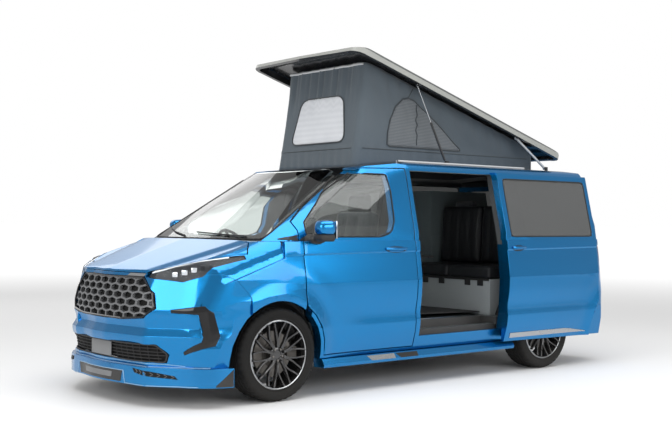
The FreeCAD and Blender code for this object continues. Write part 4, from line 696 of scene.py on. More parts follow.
barrel = lathe("barrel", [
    (0.246, 0.104), (0.2495, 0.1135), (0.2560, 0.1160), (0.2620, 0.1120), (0.2620, -0.114), (0.2500, -0.114),
    (0.2440, -0.100), (0.2380, -0.020), (0.2395, 0.060), (0.2430, 0.090)], 96, wheel_black)
barrel.data.materials.append(machined)
for face in barrel.data.polygons:
    face.material_index = int(face.center.y > 0.1135)
disc = lathe("disc", [
    (0.060, 0.006), (0.172, 0.006), (0.172, 0.014), (0.160, 0.014), (0.160, 0.020), (0.172, 0.020),
    (0.172, 0.028), (0.096, 0.028), (0.092, 0.034), (0.060, 0.034)], 72, brake_iron)
hub = lathe("hub", [
    (0.033, 0.034), (0.058, 0.034), (0.064, 0.070), (0.062, 0.090), (0.050, 0.094), (0.034, 0.096),
    (0.031, 0.091), (0.018, 0.0905), (0.0005, 0.091), (0.0005, 0.086), (0.033, 0.084)], 48, wheel_black)
for piece in (barrel, disc, hub):
    shade(piece, 30)

spokes = []
for side in (-1, 1):
    edges = {-1: [], 1: []}
    for share, half_width in ((0.0, 0.0105), (0.25, 0.0085), (0.5, 0.0070), (0.75, 0.0066), (1.0, 0.0078)):
        radius = SPOKE_ROOT + (SPOKE_TIP - SPOKE_ROOT) * share
        turn = math.radians(1.2 + 10.6 * smooth(share, 0.12, 1.1) * 1.02)
        for edge in edges:
            edges[edge].append((radius * math.sin(turn * side) + edge * half_width * math.cos(turn),
                                radius * math.cos(turn)))
    arm = plate("spoke_arm", edges[-1] + edges[1][::-1], 0.026, "xz", 0.078, wheel_black)
    for vertex in arm.data.vertices:
        radius = math.hypot(vertex.co.x, vertex.co.z)
        lift = 0.004 + 0.020 * smooth(radius, 0.14, 0.247) - 0.006 * math.sin(math.pi * (radius - 0.05) / 0.2)
        vertex.co.y += lift if vertex.co.y > 0.09 else lift - 0.004
    spokes.append(soften(arm, 0.0022))
pair = merge("spoke_pair", spokes)
wheel_parts = [barrel, disc, hub, pair]
for k in range(1, SPOKES):
    twin = duplicate(pair, f"spoke_{k}")
    twin.data.transform(Matrix.Rotation(2 * math.pi * k / SPOKES, 4, "Y"))
    wheel_parts.append(twin)
for k in range(BOLTS):
    turn = 2 * math.pi * (k + 0.5) / BOLTS
    wheel_parts.append(peg((0.045 * math.sin(turn), 0.094, 0.045 * math.cos(turn)), 0.0095, 0.020, 6, 0.0015,
                           brake_iron))
wheel = merge("wheel_facing_left", wheel_parts)

half_tread = [
    (0.352, 0.0), (0.352, 0.014), (0.345, 0.0155), (0.345, 0.0225), (0.352, 0.024), (0.3518, 0.054),
    (0.345, 0.0555), (0.345, 0.0625), (0.3514, 0.064), (0.3506, 0.084), (0.3485, 0.098), (0.343, 0.110),
    (0.334, 0.117), (0.324, 0.120), (0.3235, 0.1212), (0.312, 0.1225), (0.302, 0.1222), (0.3015, 0.1208),
    (0.290, 0.119), (0.278, 0.115), (0.270, 0.1165), (0.264, 0.113), (0.2625, 0.102)]
rubber = lathe("tyre_facing_left", half_tread + [(radius, -y) for radius, y in half_tread[:0:-1]],
               TREAD_BLOCKS, tyre_rubber)
for vertex in rubber.data.vertices:
    x, y, z = vertex.co
    radius = math.hypot(x, z)
    block = round(math.atan2(x, z) / (2 * math.pi) * TREAD_BLOCKS)
    if radius > 0.3425 and abs(y) > 0.0635 and block % 3 == 0:
        vertex.co.x, vertex.co.z = x * (1 - 0.006 / radius), z * (1 - 0.006 / radius)
shade(rubber, 28)
for end, x in (("front", AXLE_X), ("rear", -AXLE_X)):
    for tag, side, inward in SIDES:
        for model, kind, suffix in ((wheel, "rim", "cast"), (rubber, "tyre", "moulded")):
            piece = duplicate(model, f"{kind}_{end}_{tag}_{suffix}")
            if side < 0:
                flip_side(piece)
            piece.data.transform(Matrix.Translation((x, WHEEL_Y * side, WHEEL_Z)))
            carry(piece, f"wheel_{end}_{tag}", node=f"{kind}_{end}_{tag}")
bpy.data.objects.remove(wheel)
bpy.data.objects.remove(rubber)

# Nose
# Dark headlamps under clear covers, a brushed strip over an eight-sided honeycomb grille, gloss
# black corner blades, a slatted lower intake and a layered splitter.
UPPER_NOSE = (2.4123, -0.119, -0.2649, 0.4088, -0.4144)
LOWER_NOSE = (2.3568, -0.0512, -0.5463, 0.5848, -0.531)


def on_nose(y, z, stand=0.0, form=UPPER_NOSE):
    """A place on the front of the nose, with a stand-off."""
    a, b, c, d, e = form
    return Vector((a + b * y * y + c * y ** 4 + d * z + e * z * z + stand, y, z))


def clip(shape, outline):
    """Keeps what lies inside a convex outline of (y, z) corners."""
    corners = [Vector(corner) for corner in outline]
    middle = sum(corners, Vector((0, 0))) / len(corners)
    for a, b in zip(corners, corners[1:] + corners[:1]):
        out = Vector((b.y - a.y, a.x - b.x)).normalized()
        if (a - middle).dot(out) < 0:
            out = -out
        cut_at(shape, (0, *a), (0, *out), clear=True, dist=0.0001)


def honeycomb(name, outline, wide, tall, wall, deep, coat):
    """A plate of flattened six-sided cells inside a convex outline, bent to the nose."""
    turn = [(0.0, 0.5), (0.5, 0.25), (0.5, -0.25), (0.0, -0.5), (-0.5, -0.25), (-0.5, 0.25)]
    left, foot = min(y for y, z in outline), min(z for y, z in outline)
    rows = int((max(z for y, z in outline) - foot) / (tall * 0.75)) + 3
    columns = int((max(y for y, z in outline) - left) / wide) + 3
    shape = bmesh.new()
    for row in range(rows):
        for column in range(columns):
            y, z = left + (column - 0.5 + 0.5 * (row % 2)) * wide, foot + (row - 0.5) * tall * 0.75
            if abs(y) > 0.75:
                continue
            rim, lip, well = [
                [shape.verts.new((x, y + a * (wide - inset), z + b * (tall - inset))) for a, b in turn]
                for x, inset in ((0, 0), (0, wall * 2), (-deep, wall * 2.6))]
            for k in range(6):
                n = (k + 1) % 6
                shape.faces.new((rim[k], rim[n], lip[n], lip[k]))
                shape.faces.new((lip[k], lip[n], well[n], well[k]))
    bmesh.ops.remove_doubles(shape, verts=shape.verts[:], dist=0.0005)
    clip(shape, outline)
    bmesh.ops.recalc_face_normals(shape, faces=shape.faces[:])
    for vertex in shape.verts:
        vertex.co.x += on_nose(vertex.co.y, vertex.co.z, -0.004).x
    made = built(name, shape)
    made.data.materials.append(coat)
    return made


def backing(name, outline, behind, form, coat):
    """A near-black sheet behind an opening in the nose: painted shade for the space behind it."""
    reach = [y for y, z in outline]
    ys = sorted({round(y, 4) for y in reach} | {k * 0.06 for k in range(-11, 12)})
    ys = [y for y in ys if min(reach) <= y <= max(reach)]
    heights = evenly(min(z for y, z in outline), max(z for y, z in outline), 2)
    shape = bmesh.new()
    quads(shape, [[shape.verts.new(on_nose(y, z, -behind, form)) for y in ys] for z in heights])
    clip(shape, outline)
    made = built(name, shape)
    modify(made, "SOLIDIFY", thickness=0.004)
    made.data.materials.append(coat)
    return made


grille_grey = finish("grille_grey", (0.27, 0.275, 0.285), (0.20, 0.205, 0.21), 0.34, metallic=0.75,
                     grain=(700.0, 1.0), bump=0.15, dust=(0.2, 0.9, 0.1))
brushed = finish("brushed_silver", (0.50, 0.51, 0.52), (0.38, 0.39, 0.40), 0.26, metallic=1.0,
                 grain=(1100.0, 0.6), bump=0.08)
# Near black: the black plastic of the fog meshes, and painted shade on the sheets behind the nose openings
# and on hidden inner faces.
black_plastic_and_painted_shade = finish("black_plastic_and_painted_shade", (0.006, 0.006, 0.006), (0.012, 0.012, 0.012), 0.8, specular=DARK)
day_light = finish("day_light", (0.86, 0.88, 0.90), (0.78, 0.80, 0.83), 0.22, coat=0.6)
reflector = finish("reflector", (0.82, 0.84, 0.86), (0.55, 0.57, 0.60), 0.12, metallic=0.9,
                   grain=(260.0, 1.0), bump=0.25)
lamp_housing = finish("lamp_housing", (0.014, 0.015, 0.017), (0.022, 0.024, 0.028), 0.32, specular=DARK)
# A pale copy of the blue paint for thin lines along the nose's edges: painted highlights.
painted_edge_highlight = finish("painted_edge_highlight", (0.34, 0.52, 0.70), (0.28, 0.45, 0.62), 0.3, metallic=0.3, coat=0.5)
lamp_cover = pane("lamp_cover", (0.93, 0.95, 0.97), 1.0, 1.0, ior=1.06)

opening = [(0.456, 0.934), (0.591, 0.820), (0.621, 0.713), (0.541, 0.646), (0.298, 0.624),
           (-0.298, 0.624), (-0.541, 0.646), (-0.621, 0.713), (-0.591, 0.820), (-0.456, 0.934)]
mouth = [(0.636, 0.450), (0.706, 0.386), (0.686, 0.326), (-0.686, 0.326), (-0.706, 0.386), (-0.636, 0.450)]
rim_line = dense(rounded([(y * 0.992, 0.779 + (z - 0.779) * 0.985) for y, z in opening], 0.016), 0.03)
mouth_line = dense(rounded(mouth, 0.02), 0.04)
grille_parts = [
    honeycomb("grille_cells", opening, 0.124, 0.066, 0.0080, 0.026, grille_grey),
    backing("grille_backing", opening, 0.034, UPPER_NOSE, black_plastic_and_painted_shade),
    strip("grille_rim", [on_nose(y, z, 0.0015) for y, z in rim_line], 0.0085, gloss_black, closed=True),
    backing("intake_backing", mouth, 0.030, LOWER_NOSE, black_plastic_and_painted_shade),
    strip("intake_rim", [on_nose(y, z, 0.001, LOWER_NOSE) for y, z in mouth_line], 0.006, moulded_black,
          closed=True),
    plate("bare_plate", oblong(-0.155, 0.332, 0.155, 0.444), 0.008, "yz",
          on_nose(0.0, 0.39, -0.010, LOWER_NOSE).x, grille_grey, 0.004)]
for z, reach in ((0.350, 0.655), (0.374, 0.685), (0.398, 0.685), (0.424, 0.655)):
    slat = [on_nose(y, z, -0.012, LOWER_NOSE) for y in evenly(-reach, reach, 24)]
    grille_parts.append(strip("intake_slat", slat, 0.0042, moulded_black))
for y in evenly(-0.63, 0.63, 18):
    post = [on_nose(y, z, -0.018, LOWER_NOSE) for z in (0.33, 0.39, 0.446)]
    grille_parts.append(strip("intake_post", post, 0.003, moulded_black))
carry(merge("radiator_and_intake", grille_parts), "body", node="grilles")
ribbon("brushed_strip", *[[on_nose(y, z, 0.003) for y in evenly(-reach, reach, 32)]
                          for z, reach in ((0.9600, 0.474), (0.9395, 0.458))],
       [], FROM_AHEAD, 0.0, 0.005, 0.04, brushed, "body", "chrome")

lamps = closed_copy("headlamps", "headlamp_covers")
lamps.data.transform(Matrix.Translation((-0.0005, 0, 0)))
housing = duplicate(lamps, "headlamp_housings")
for vertex in housing.data.vertices:
    vertex.co.x -= 0.016
    vertex.co.y -= math.copysign(0.007, vertex.co.y)
    vertex.co.z = 1.0 + (vertex.co.z - 1.0) * 0.985 - 0.0015
housing.data.materials.append(lamp_housing)
crisp(housing, width=0)
crisp(lamps, width=0)
lamp_parts = [housing]
for side in (1, -1):
    line = [(2.37, 0.53 * side, 0.9665), (2.28, 0.645 * side, 1.005), (2.17, 0.74 * side, 1.040),
            (1.93, 0.865 * side, 1.081)]
    glow = laid([housing], dense(line, 0.02, False), (-1, -0.45 * side, 0), 0.004)
    lamp_parts.append(strip(f"day_light_{side}", glow, 0.0062, day_light))
    for k, (y, z, wide, tall) in enumerate(((0.665, 0.957, 0.046, 0.036), (0.728, 0.973, 0.046, 0.038),
                                            (0.790, 0.992, 0.044, 0.036), (0.846, 1.010, 0.034, 0.032))):
        for spot in laid([housing], [(2.2, y * side, z)], (-1, -0.2 * side, 0), 0.002):
            module = cube(f"lamp_module_{side}_{k}", form=(
                Matrix.Translation(spot) @ Matrix.Rotation(math.radians(32 + 8 * k) * side, 4, "Z")
                @ Matrix.Diagonal((0.016, wide, tall, 1))))
            soften(module, 0.004)
            module.data.materials.append(reflector if k < 3 else lamp_housing)
            lamp_parts.append(module)
carry(merge("headlamp_insides", lamp_parts), "body", node="headlamps")
carry(lamps, "body", lamp_cover, "headlamps")
carry(crisp(closed_copy("bumper_blades", "blades_moulded"), 0.004, 30), "body", gloss_black, "bumper_blades")

nose_skin = [panels["front_bumper"], panels["front_splitter"]]
for side in (1, -1):
    ribbon(f"fog_mesh_{side}", [(0.45 * side, 0.274), (0.60 * side, 0.262), (0.76 * side, 0.232)],
           [(0.47 * side, 0.243), (0.62 * side, 0.222), (0.78 * side, 0.208)],
           nose_skin, FROM_AHEAD, 0.0, 0.004, 0.03, black_plastic_and_painted_shade, "body", "dark_plastic")
    for k in range(7):
        y, top, base = 0.49 + 0.042 * k, 0.268 - 0.0055 * k, 0.240 - 0.0045 * k
        bar = laid(nose_skin, [(y * side, top), ((y + 0.018) * side, (top + base) / 2), (y * side, base)],
                   FROM_AHEAD, 0.003)
        carry(strip(f"fog_mesh_bar_{side}_{k}", bar, 0.0025, grille_grey), "body", slot="dark_plastic")
    ribbon(f"splitter_end_{side}", [(2.10, 0.166), (2.05, 0.215), (1.975, 0.280)],
           [(2.10, 0.156), (2.05, 0.156), (1.975, 0.156)],
           nose_skin, (0, -side, 0), 0.001, 0.003, 0.04, gloss_black, "body", "gloss_black")
for name, top, base, top_half, base_half, stand, coat in (
        ("skid_plate", 0.243, 0.162, 0.33, 0.31, 0.0005, gloss_black),
        ("skid_bright", 0.226, 0.186, 0.21, 0.20, 0.0025, grille_grey)):
    ribbon(name, [(y, top) for y in evenly(-top_half, top_half, 2)],
           [(y, base) for y in evenly(-base_half, base_half, 2)], nose_skin,
           FROM_AHEAD, stand, 0.003, 0.05, coat, "body", "gloss_black")
# Pale blue lines along the lip, chin and foot of the nose: painted highlights where these edges catch the
# light.
for name, run, size in (
        ("lip_line", [(-0.93, 0.292), (-0.70, 0.290), (0, 0.290), (0.70, 0.290), (0.93, 0.292)], 0.0035),
        ("chin_line", [(-0.80, 0.300), (-0.66, 0.312), (0, 0.312), (0.66, 0.312), (0.80, 0.300)], 0.0030),
        ("foot_line", [(-0.90, 0.158), (-0.36, 0.155), (-0.34, 0.246), (0.34, 0.246), (0.36, 0.155),
                       (0.90, 0.158)], 0.0030)):
    spots = laid(nose_skin, dense(run, 0.03, False), FROM_AHEAD)
    carry(strip(name, spots, size, painted_edge_highlight), "body", slot="paint")
for tag, side, inward in SIDES:
    for x0, x1, coat in ((0.66, 0.36, brushed), (0.34, 0.10, gloss_black)):
        ribbon(f"skirt_insert_{tag}_{x0:.2f}", [(x0, 0.276), (x1, 0.276)], [(x0 - 0.04, 0.240), (x1, 0.240)],
               [panels["side_skirts"]], inward, 0.001, 0.003, 0.08, coat, "body", "chrome")
ribbon("sliding_door_strip", [(-0.99, 0.366), (-1.80, 0.366), (-2.08, 0.326)],
       [(-0.99, 0.322), (-1.80, 0.322), (-2.08, 0.320)],
       [panels["sliding_door"]], FROM_LEFT, 0.002, 0.005, 0.08, brushed, "body", "chrome")

# Raised roof
# A moulded lid on lifting arms and gas struts: dark on top, its outward rim painted pale as a highlight
# and its underside painted darker as shade.  Brackets, the awning rail and the side door's rail are fixed
# to the body.
LID_TILT, LID_MIDDLE = math.radians(16.5), Vector((-0.75, 0, 2.39))
lid_top = finish("lid_top", (0.020, 0.024, 0.024), (0.032, 0.036, 0.036), 0.3, coat=0.4,
                 grain=(500.0, 1.0), bump=0.1)
lid_rim_painted_highlight = finish("lid_rim_painted_highlight", (0.30, 0.305, 0.285), (0.24, 0.245, 0.23), 0.36, coat=0.3,
                 grain=(700.0, 0.5), bump=0.06)
lid_under_painted_shade = finish("lid_under_painted_shade", (0.012, 0.012, 0.013), (0.020, 0.020, 0.021), 0.24, coat=0.4, specular=DARK,
                   grain=(400.0, 1.0), bump=0.1)
white_alloy = finish("white_alloy", (0.62, 0.63, 0.64), (0.50, 0.51, 0.52), 0.34, metallic=0.35,
                     grain=(800.0, 0.7), bump=0.08)
strut_black = finish("strut_black", (0.012, 0.012, 0.013), (0.02, 0.02, 0.02), 0.3, coat=0.3)
strut_chrome = finish("strut_chrome", (0.60, 0.61, 0.62), (0.50, 0.51, 0.52), 0.12, metallic=1.0,
                      grain=(900.0, 0.4))

lid_up = Vector((-math.sin(LID_TILT), 0, math.cos(LID_TILT)))
lid = crisp(closed_copy("roof_lid", "lid_moulded"), width=0.0, angle=34)
for coat in (lid_top, lid_rim_painted_highlight, lid_under_painted_shade):
    lid.data.materials.append(coat)
for face in lid.data.polygons:
    lift = face.normal.dot(lid_up)
    away = face.center - LID_MIDDLE
    outward = (away - lid_up * away.dot(lid_up)).dot(face.normal) > 0
    # Faces are painted by the way they point: pale on the outward rim as a painted highlight, darker below as
    # painted shade.
    face.material_index = 0 if lift > 0.55 else 1 if lift > -0.35 and outward else 2
carry(lid, "roof_lid", node="roof_lid")
for node, body, coat, width in (
        ("roof_arms", "roof_arms", white_alloy, 0.0), ("roof_brackets", "body", moulded_black, 0.001),
        ("awning_rail", "body", white_alloy, 0.002),
        ("strut_cylinder_left", "strut_cylinder_left", strut_black, 0.001),
        ("strut_cylinder_right", "strut_cylinder_right", strut_black, 0.001),
        ("strut_rod_left", "strut_rod_left", strut_chrome, 0.0),
        ("strut_rod_right", "strut_rod_right", strut_chrome, 0.0),
        ("slide_rail", "body", moulded_black, 0.002)):
    carry(crisp(closed_copy(node, node + "_made"), width), body, coat, node)


# Tent
# Fabric walls between the lid and the roof, pleated along the front and taut on the sides, with a
# net window in the front and in each side, seams, a foot rope and pale piping along the front.
def woven(name, colour, second, weave, roughness=0.85, sheen=0.25, depth=0.5):
    """Cloth with two crossing sets of threads and a soft sheen; colour drifts a little over it."""
    made, tree, shader = surface(name)
    place = add(tree, "TexCoord").outputs["Object"]
    threads = [add(tree, "TexWave", {"Scale": weave, "Distortion": 0.4, "Vector": place},
                   bands_direction=way).outputs["Fac"] for way in ("X", "Z")]
    cross = maths(tree, "MULTIPLY", *threads)
    clouds = add(tree, "TexNoise", {"Scale": 3.0, "Detail": 5.0, "Vector": place}).outputs["Fac"]
    share = maths(tree, "MULTIPLY_ADD", cross, depth, maths(tree, "MULTIPLY", clouds, 1.0 - depth))
    relief = add(tree, "Bump", {"Strength": 0.35, "Distance": 0.0006, "Height": cross})
    fill(tree, shader, {"Base Color": blend(tree, share, colour, second), "Roughness": roughness,
                        "Sheen Weight": sheen, "Normal": relief.outputs[0]})
    return made


canvas_grey = woven("canvas_grey", (0.050, 0.066, 0.080), (0.090, 0.112, 0.130), 210.0)
canvas_hem = woven("canvas_hem", (0.020, 0.026, 0.031), (0.034, 0.042, 0.048), 210.0)
silver_net = woven("silver_net", (0.42, 0.44, 0.47), (0.74, 0.75, 0.77), 40.0, 0.5, sheen=0.1, depth=0.3)
dark_net = woven("dark_net", (0.035, 0.042, 0.050), (0.22, 0.24, 0.25), 24.0, 0.6, depth=0.8)

TENT_FRONT, TENT_REAR, TENT_HALF, TENT_LENGTH, TENT_WIDTH = 0.436, -1.916, 0.55, 2.25, 1.1
FOOT_Z, BAND_Z, FRONT_LEAN, CORNER, ROWS = 1.872, 1.985, 0.131, 0.07, 34
SIDE_REAR, SIDE_FRONT, FRONT_HALF = TENT_REAR + CORNER, TENT_REAR + TENT_LENGTH - CORNER, TENT_HALF - CORNER
SIDE_HALF, SIDE_SPREAD = 0.549, 0.102


def ceiling(x):
    """Height of the canvas's upper edge."""
    return 2.728 - (0.307 - x) * 0.2962


def front_line(z):
    """How far forward the canvas's front stands."""
    return TENT_FRONT - FRONT_LEAN * (z - 1.867) / 0.867


def fold(side, along, z):
    """How far the cloth stands off its flat place: pleats in front, long pulls on the sides."""
    top = 2.72 if side == "front" else ceiling(along)
    part = max(0.0, min(1.0, (z - FOOT_Z) / max(0.05, top - FOOT_Z)))
    hang = -0.010 * math.sin(math.pi * part) + 0.003 * dent(z, BAND_Z, 0.012)
    if side == "front":
        pleat = math.sin(52 * along + 2.2 * math.sin(9 * along)) + 0.5 * math.sin(97 * along + 1.3)
        pull = 0.0085 * smooth(part, 0.45, 0.9) * pleat
        return hang + pull + 0.0022 * math.sin(61 * along + 14 * z) * smooth(0.2 - part, 0.0, 0.2)
    run = 0.0065 * math.sin(7.5 * along + 5.5 * z) * math.sin(math.pi * part)
    pull = 0.0036 * math.sin(34 * along - 16 * z + 2 * math.sin(5 * along)) * smooth(part, 0.2, 0.9)
    return hang + run + pull + 0.0018 * math.sin(48 * along + 10 * z) * smooth(0.3 - part, 0.0, 0.2)


def foot_of(x, y):
    """Height of the roof just outside the canvas."""
    out = Vector((x + 0.75, y * 2.0)).normalized() * 0.014
    found = onto([panels["roof_panel"], panels["side_left"], panels["side_right"], glazed["windscreen"]],
                 (x + out.x, y + out.y, 2.6), FROM_ABOVE, 0.003)
    return FOOT_Z if found is None else max(1.80, min(FOOT_Z + 0.01, found.z))


def on_canvas(side, along, z, stand=0.0):
    """A place on the canvas: side is front, rear, left or right; along is y or x."""
    off = fold(side, along, z) + stand
    if side == "front":
        return Vector((front_line(z) + off, along, z))
    if side == "rear":
        return Vector((TENT_REAR - off * 0.5, along, z))
    return Vector((along, (SIDE_HALF + off) * (1 if side == "left" else -1), z))


def canvas_column(side, along, way):
    """Places up the canvas, foot to upper edge; along is x or y, or the share of a corner's turn."""
    stretch = max(0.0, (along - SIDE_REAR) / 2.046)
    turn = along * math.pi / 2
    foot = foot_of(*{
        "front": (TENT_FRONT, along), "rear": (TENT_REAR, along), "corner": (TENT_FRONT, 0.46 * way),
        "back": (TENT_REAR, 0.46 * way)}.get(side, (along + SIDE_SPREAD * stretch, SIDE_HALF * way)))
    for share in evenly(0, 1, ROWS):
        if side in ("front", "rear"):
            top = ceiling(0.31 if side == "front" else TENT_REAR)
            yield on_canvas(side, along, foot + share * (top - foot))
        elif side == "corner":
            z = foot + share * (ceiling(0.30) - foot)
            x = front_line(z) - CORNER + CORNER * math.sin(turn)
            y = (FRONT_HALF + CORNER * math.cos(turn)) * way
            z = foot + share * (ceiling(x) - foot)
            ease = fold("front", way * FRONT_HALF, z) * along + fold("left", x, z) * (1 - along)
            yield Vector((x + ease * math.sin(turn), y + way * ease * math.cos(turn), z))
        elif side == "back":
            yield Vector((SIDE_REAR - CORNER * math.sin(turn), (FRONT_HALF + CORNER * math.cos(turn)) * way,
                          foot + share * (ceiling(-1.9) - foot)))
        else:
            foot_x, x, z = along + SIDE_SPREAD * (1.0 if along > 0.2 else stretch), along, foot
            for _ in range(3):
                x = foot_x - (TENT_FRONT - front_line(z)) * smooth(foot_x, SIDE_REAR, 0.366) ** 2
                z = foot + share * (ceiling(x) - foot)
            yield on_canvas(side, x, z)


def net(name, side, outline, coat):
    """A net window: its own patch a little off the cloth, edged with a piped hem."""
    corners = [Vector(place) for place in outline]
    patch = bmesh.new()
    patch.faces.new([patch.verts.new((p.x, 0, p.y)) for p in corners])
    for axis, way in ((0, Vector((1, 0, 0))), (1, Vector((0, 0, 1)))):
        reach = [p[axis] for p in corners]
        for place in steps(min(reach), max(reach), 0.028):
            cut_at(patch, way * place, way, dist=0.00005)
    for vertex in patch.verts:
        vertex.co = on_canvas(side, vertex.co.x, vertex.co.z, 0.0035)
    bmesh.ops.recalc_face_normals(patch, faces=patch.faces[:])
    made = built(name, patch)
    modify(made, "SOLIDIFY", thickness=0.0012, offset=0.0)
    bpy.ops.object.shade_smooth()
    made.data.materials.append(coat)
    hem = strip(name + "_hem", [on_canvas(side, p.x, p.y, 0.004) for p in dense(corners, 0.03)], 0.0065,
                canvas_hem, closed=True)
    return [made, hem]


columns = [canvas_column(side, along, way) for side, way, places in (
    ("left", 1, evenly(SIDE_REAR, SIDE_FRONT, 110)), ("corner", 1, evenly(0, 1, 8)[1:-1]),
    ("front", 1, evenly(FRONT_HALF, -FRONT_HALF, 60)), ("corner", -1, evenly(1, 0, 8)[1:-1]),
    ("right", -1, evenly(SIDE_FRONT, SIDE_REAR, 110)), ("back", -1, evenly(0, 1, 6)[1:-1]),
    ("rear", 1, evenly(-FRONT_HALF, FRONT_HALF, 30)), ("back", 1, evenly(1, 0, 6)[1:-1])) for along in places]
shape = bmesh.new()
grid = [[shape.verts.new(place) for place in column] for column in columns]
foot_points = [column[0].co.copy() for column in grid[::3]]
quads(shape, grid + grid[:1])
flat_area = sum(face.calc_area() for face in shape.faces)
canvas = built("tent_canvas", shape)
modify(canvas, "SOLIDIFY", thickness=0.0018)
bpy.ops.object.shade_smooth()
canvas.data.materials.append(canvas_grey)

front_net = [(-0.286, 2.459), (0.286, 2.459), (0.377, 2.045), (-0.377, 2.045)]
side_net = [(0.055, 2.030), (0.050, 2.12), (0.020, 2.25), (-0.045, 2.37), (-0.12, 2.435), (-0.19, 2.452),
            (-0.27, 2.432), (-0.42, 2.34), (-0.62, 2.20), (-0.80, 2.075), (-0.865, 2.032), (-0.86, 2.016),
            (-0.80, 2.014), (0.03, 2.016)]
tent_parts = net("front_net", "front", rounded(front_net, 0.09), silver_net)
for tag, side, inward in SIDES:
    tent_parts += net(f"{tag}_net", tag, side_net, dark_net)
    seam = [on_canvas(tag, -0.19 - 0.02 * k, 2.455 + 0.03 * k, 0.002) for k in range(4)]
    curtain = [on_canvas(tag, -0.30 + 0.012 * math.sin(9 * k), 2.40 - 0.045 * k, 0.005) for k in range(9)]
    tent_parts += [strip(f"{tag}_upright_seam", seam, 0.003, canvas_hem),
                   strip(f"{tag}_curtain_edge", curtain, 0.006, canvas_hem)]
band_line = [on_canvas(side, along, BAND_Z, 0.001) for side, places in (
    ("left", evenly(SIDE_REAR, 0.344, 60)), ("front", evenly(0.478, -0.478, 40)),
    ("right", evenly(0.344, SIDE_REAR, 60)), ("rear", evenly(-0.48, 0.48, 10))) for along in places]
front_edge = [on_canvas("front", y, 2.712, 0.003) for y in evenly(0.5, -0.5, 20)]
tent_parts += [
    strip("band_seam", band_line, 0.0032, canvas_hem, closed=True),
    strip("foot_rope", foot_points, 0.0055, canvas_hem, closed=True),
    strip("front_piping", front_edge, 0.010, white_alloy)]
trim = merge("tent_trim", tent_parts)
for piece in (canvas, trim):
    carry(piece, "body", node="tent")
for piece in (canvas, trim):
    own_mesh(piece)

# Mirrors, handles, wipers and tail lamps
# Rounded mirror heads in body colour on black arms, grab handles over shallow cups, two wipers, and
# upright tail lamps.
HANDLE_Z = 1.128
mirror_glass = finish("mirror_glass", (0.55, 0.57, 0.60), (0.50, 0.52, 0.55), 0.05, metallic=1.0)
tail_red = finish("tail_red", (0.42, 0.012, 0.012), (0.30, 0.008, 0.008), 0.14, coat=0.9,
                  grain=(160.0, 1.0), bump=0.2)


def mirror_block(name, start, end, coat):
    """One rounded block of the left mirror: narrower ahead, and the head lower at its outer end."""
    size = [b - a for a, b in zip(start, end)]
    middle = [(a + b) / 2 for a, b in zip(start, end)]
    block = cube(name, form=Matrix.Translation(middle) @ Matrix.Diagonal((*size, 1)))
    for vertex in block.data.vertices:
        y, z = vertex.co.y - middle[1], vertex.co.z - middle[2]
        if coat != mirror_glass and vertex.co.x > middle[0]:
            y, z = y * 0.82, z * 0.84
        if coat == paint and y > 0:
            z *= 0.9
        vertex.co.y, vertex.co.z = middle[1] + y, middle[2] + z
    return block


for tag, side, inward in SIDES:
    mirror_parts = []
    for name, start, end, coat, rounding in (
            ("head", (1.108, 0.992, 1.236), (1.250, 1.134, 1.372), paint, 0.042),
            ("shell", (1.112, 0.978, 1.198), (1.240, 1.126, 1.262), moulded_black, 0.024),
            ("glass", (1.100, 1.004, 1.222), (1.112, 1.124, 1.358), mirror_glass, 0.004)):
        block = mirror_block(f"mirror_{name}_{tag}", start, end, coat)
        if side < 0:
            flip_side(block)
        soften(block, rounding, 5, 20, 50)
        block.data.materials.append(coat)
        mirror_parts.append(block)
    arm = plate(f"mirror_arm_{tag}", [(1.252, 1.212), (1.200, 1.236), (1.120, 1.232), (1.112, 1.196),
                                      (1.170, 1.176), (1.240, 1.186)], 0.088, "xz", 0.912, moulded_black)
    if side < 0:
        flip_side(arm)
    mirror_parts.append(soften(arm, 0.008, 3))
    carry(merge(f"mirror_{tag}_made", mirror_parts), f"door_{tag}", node=f"mirror_{tag}")
    ribbon(f"mirror_wedge_{tag}", [(1.292, 1.218), (1.22, 1.252), (1.10, 1.250)],
           [(1.292, 1.206), (1.22, 1.196), (1.10, 1.196)],
           [panels[f"door_{tag}"], glazed[f"door_glass_{tag}"]], inward, 0.002, 0.006, 0.02,
           moulded_black, f"door_{tag}", "dark_plastic")
    ribbon(f"mirror_foot_{tag}", [(1.475, 1.2185), (1.40, 1.234), (1.318, 1.248)],
           [(1.475, 1.2145), (1.40, 1.209), (1.318, 1.203)],
           [panels[f"side_{tag}"], panels["front_wings"], glazed["windscreen"]], inward, 0.002, 0.005, 0.02,
           moulded_black, "body", "dark_plastic")

for tag, body, x, reach, inward, panel in (
        ("left", "door_left", 0.345, 0.12, FROM_LEFT, panels["door_left"]),
        ("right", "door_right", 0.345, 0.12, FROM_RIGHT, panels["door_right"]),
        ("sliding", "body", -1.075, 0.085, FROM_LEFT, panels["sliding_door"])):
    turns = evenly(math.pi, 0, 8)
    upper, lower = [[(x + reach * math.cos(turn), HANDLE_Z + height * math.sin(turn)) for turn in turns]
                    for height in (0.026, -0.026)]
    ribbon(f"handle_cup_{tag}", upper, lower, [panel], inward, 0.0015, 0.003, 0.02, moulded_black, body,
           "dark_plastic")
    grip = [onto([panel], (x + reach * 0.96 * (2 * share - 1), 0, HANDLE_Z + 0.006), inward,
                 0.004 + 0.016 * max(0.0, math.sin(math.pi * share)) ** 0.5) for share in evenly(0, 1, 12)]
    carry(strip(f"handle_{tag}", grip, 0.0115, paint, resolution=4), body, slot="paint")
for side, start, end in ((1, (0.62, 1.235), (0.02, 1.262)), (-1, (-0.10, 1.232), (-0.64, 1.290))):
    run = [Vector(start).lerp(Vector(end), share) for share in evenly(0, 1, 14)]
    carry(strip(f"wiper_{side}", laid([glazed["windscreen"]], run, FROM_AHEAD, 0.014), 0.006, moulded_black),
          "body", slot="dark_plastic")
carry(crisp(closed_copy("tail_lamps", "tail_lamps_moulded"), 0.004), "body", tail_red, "tail_lamps")

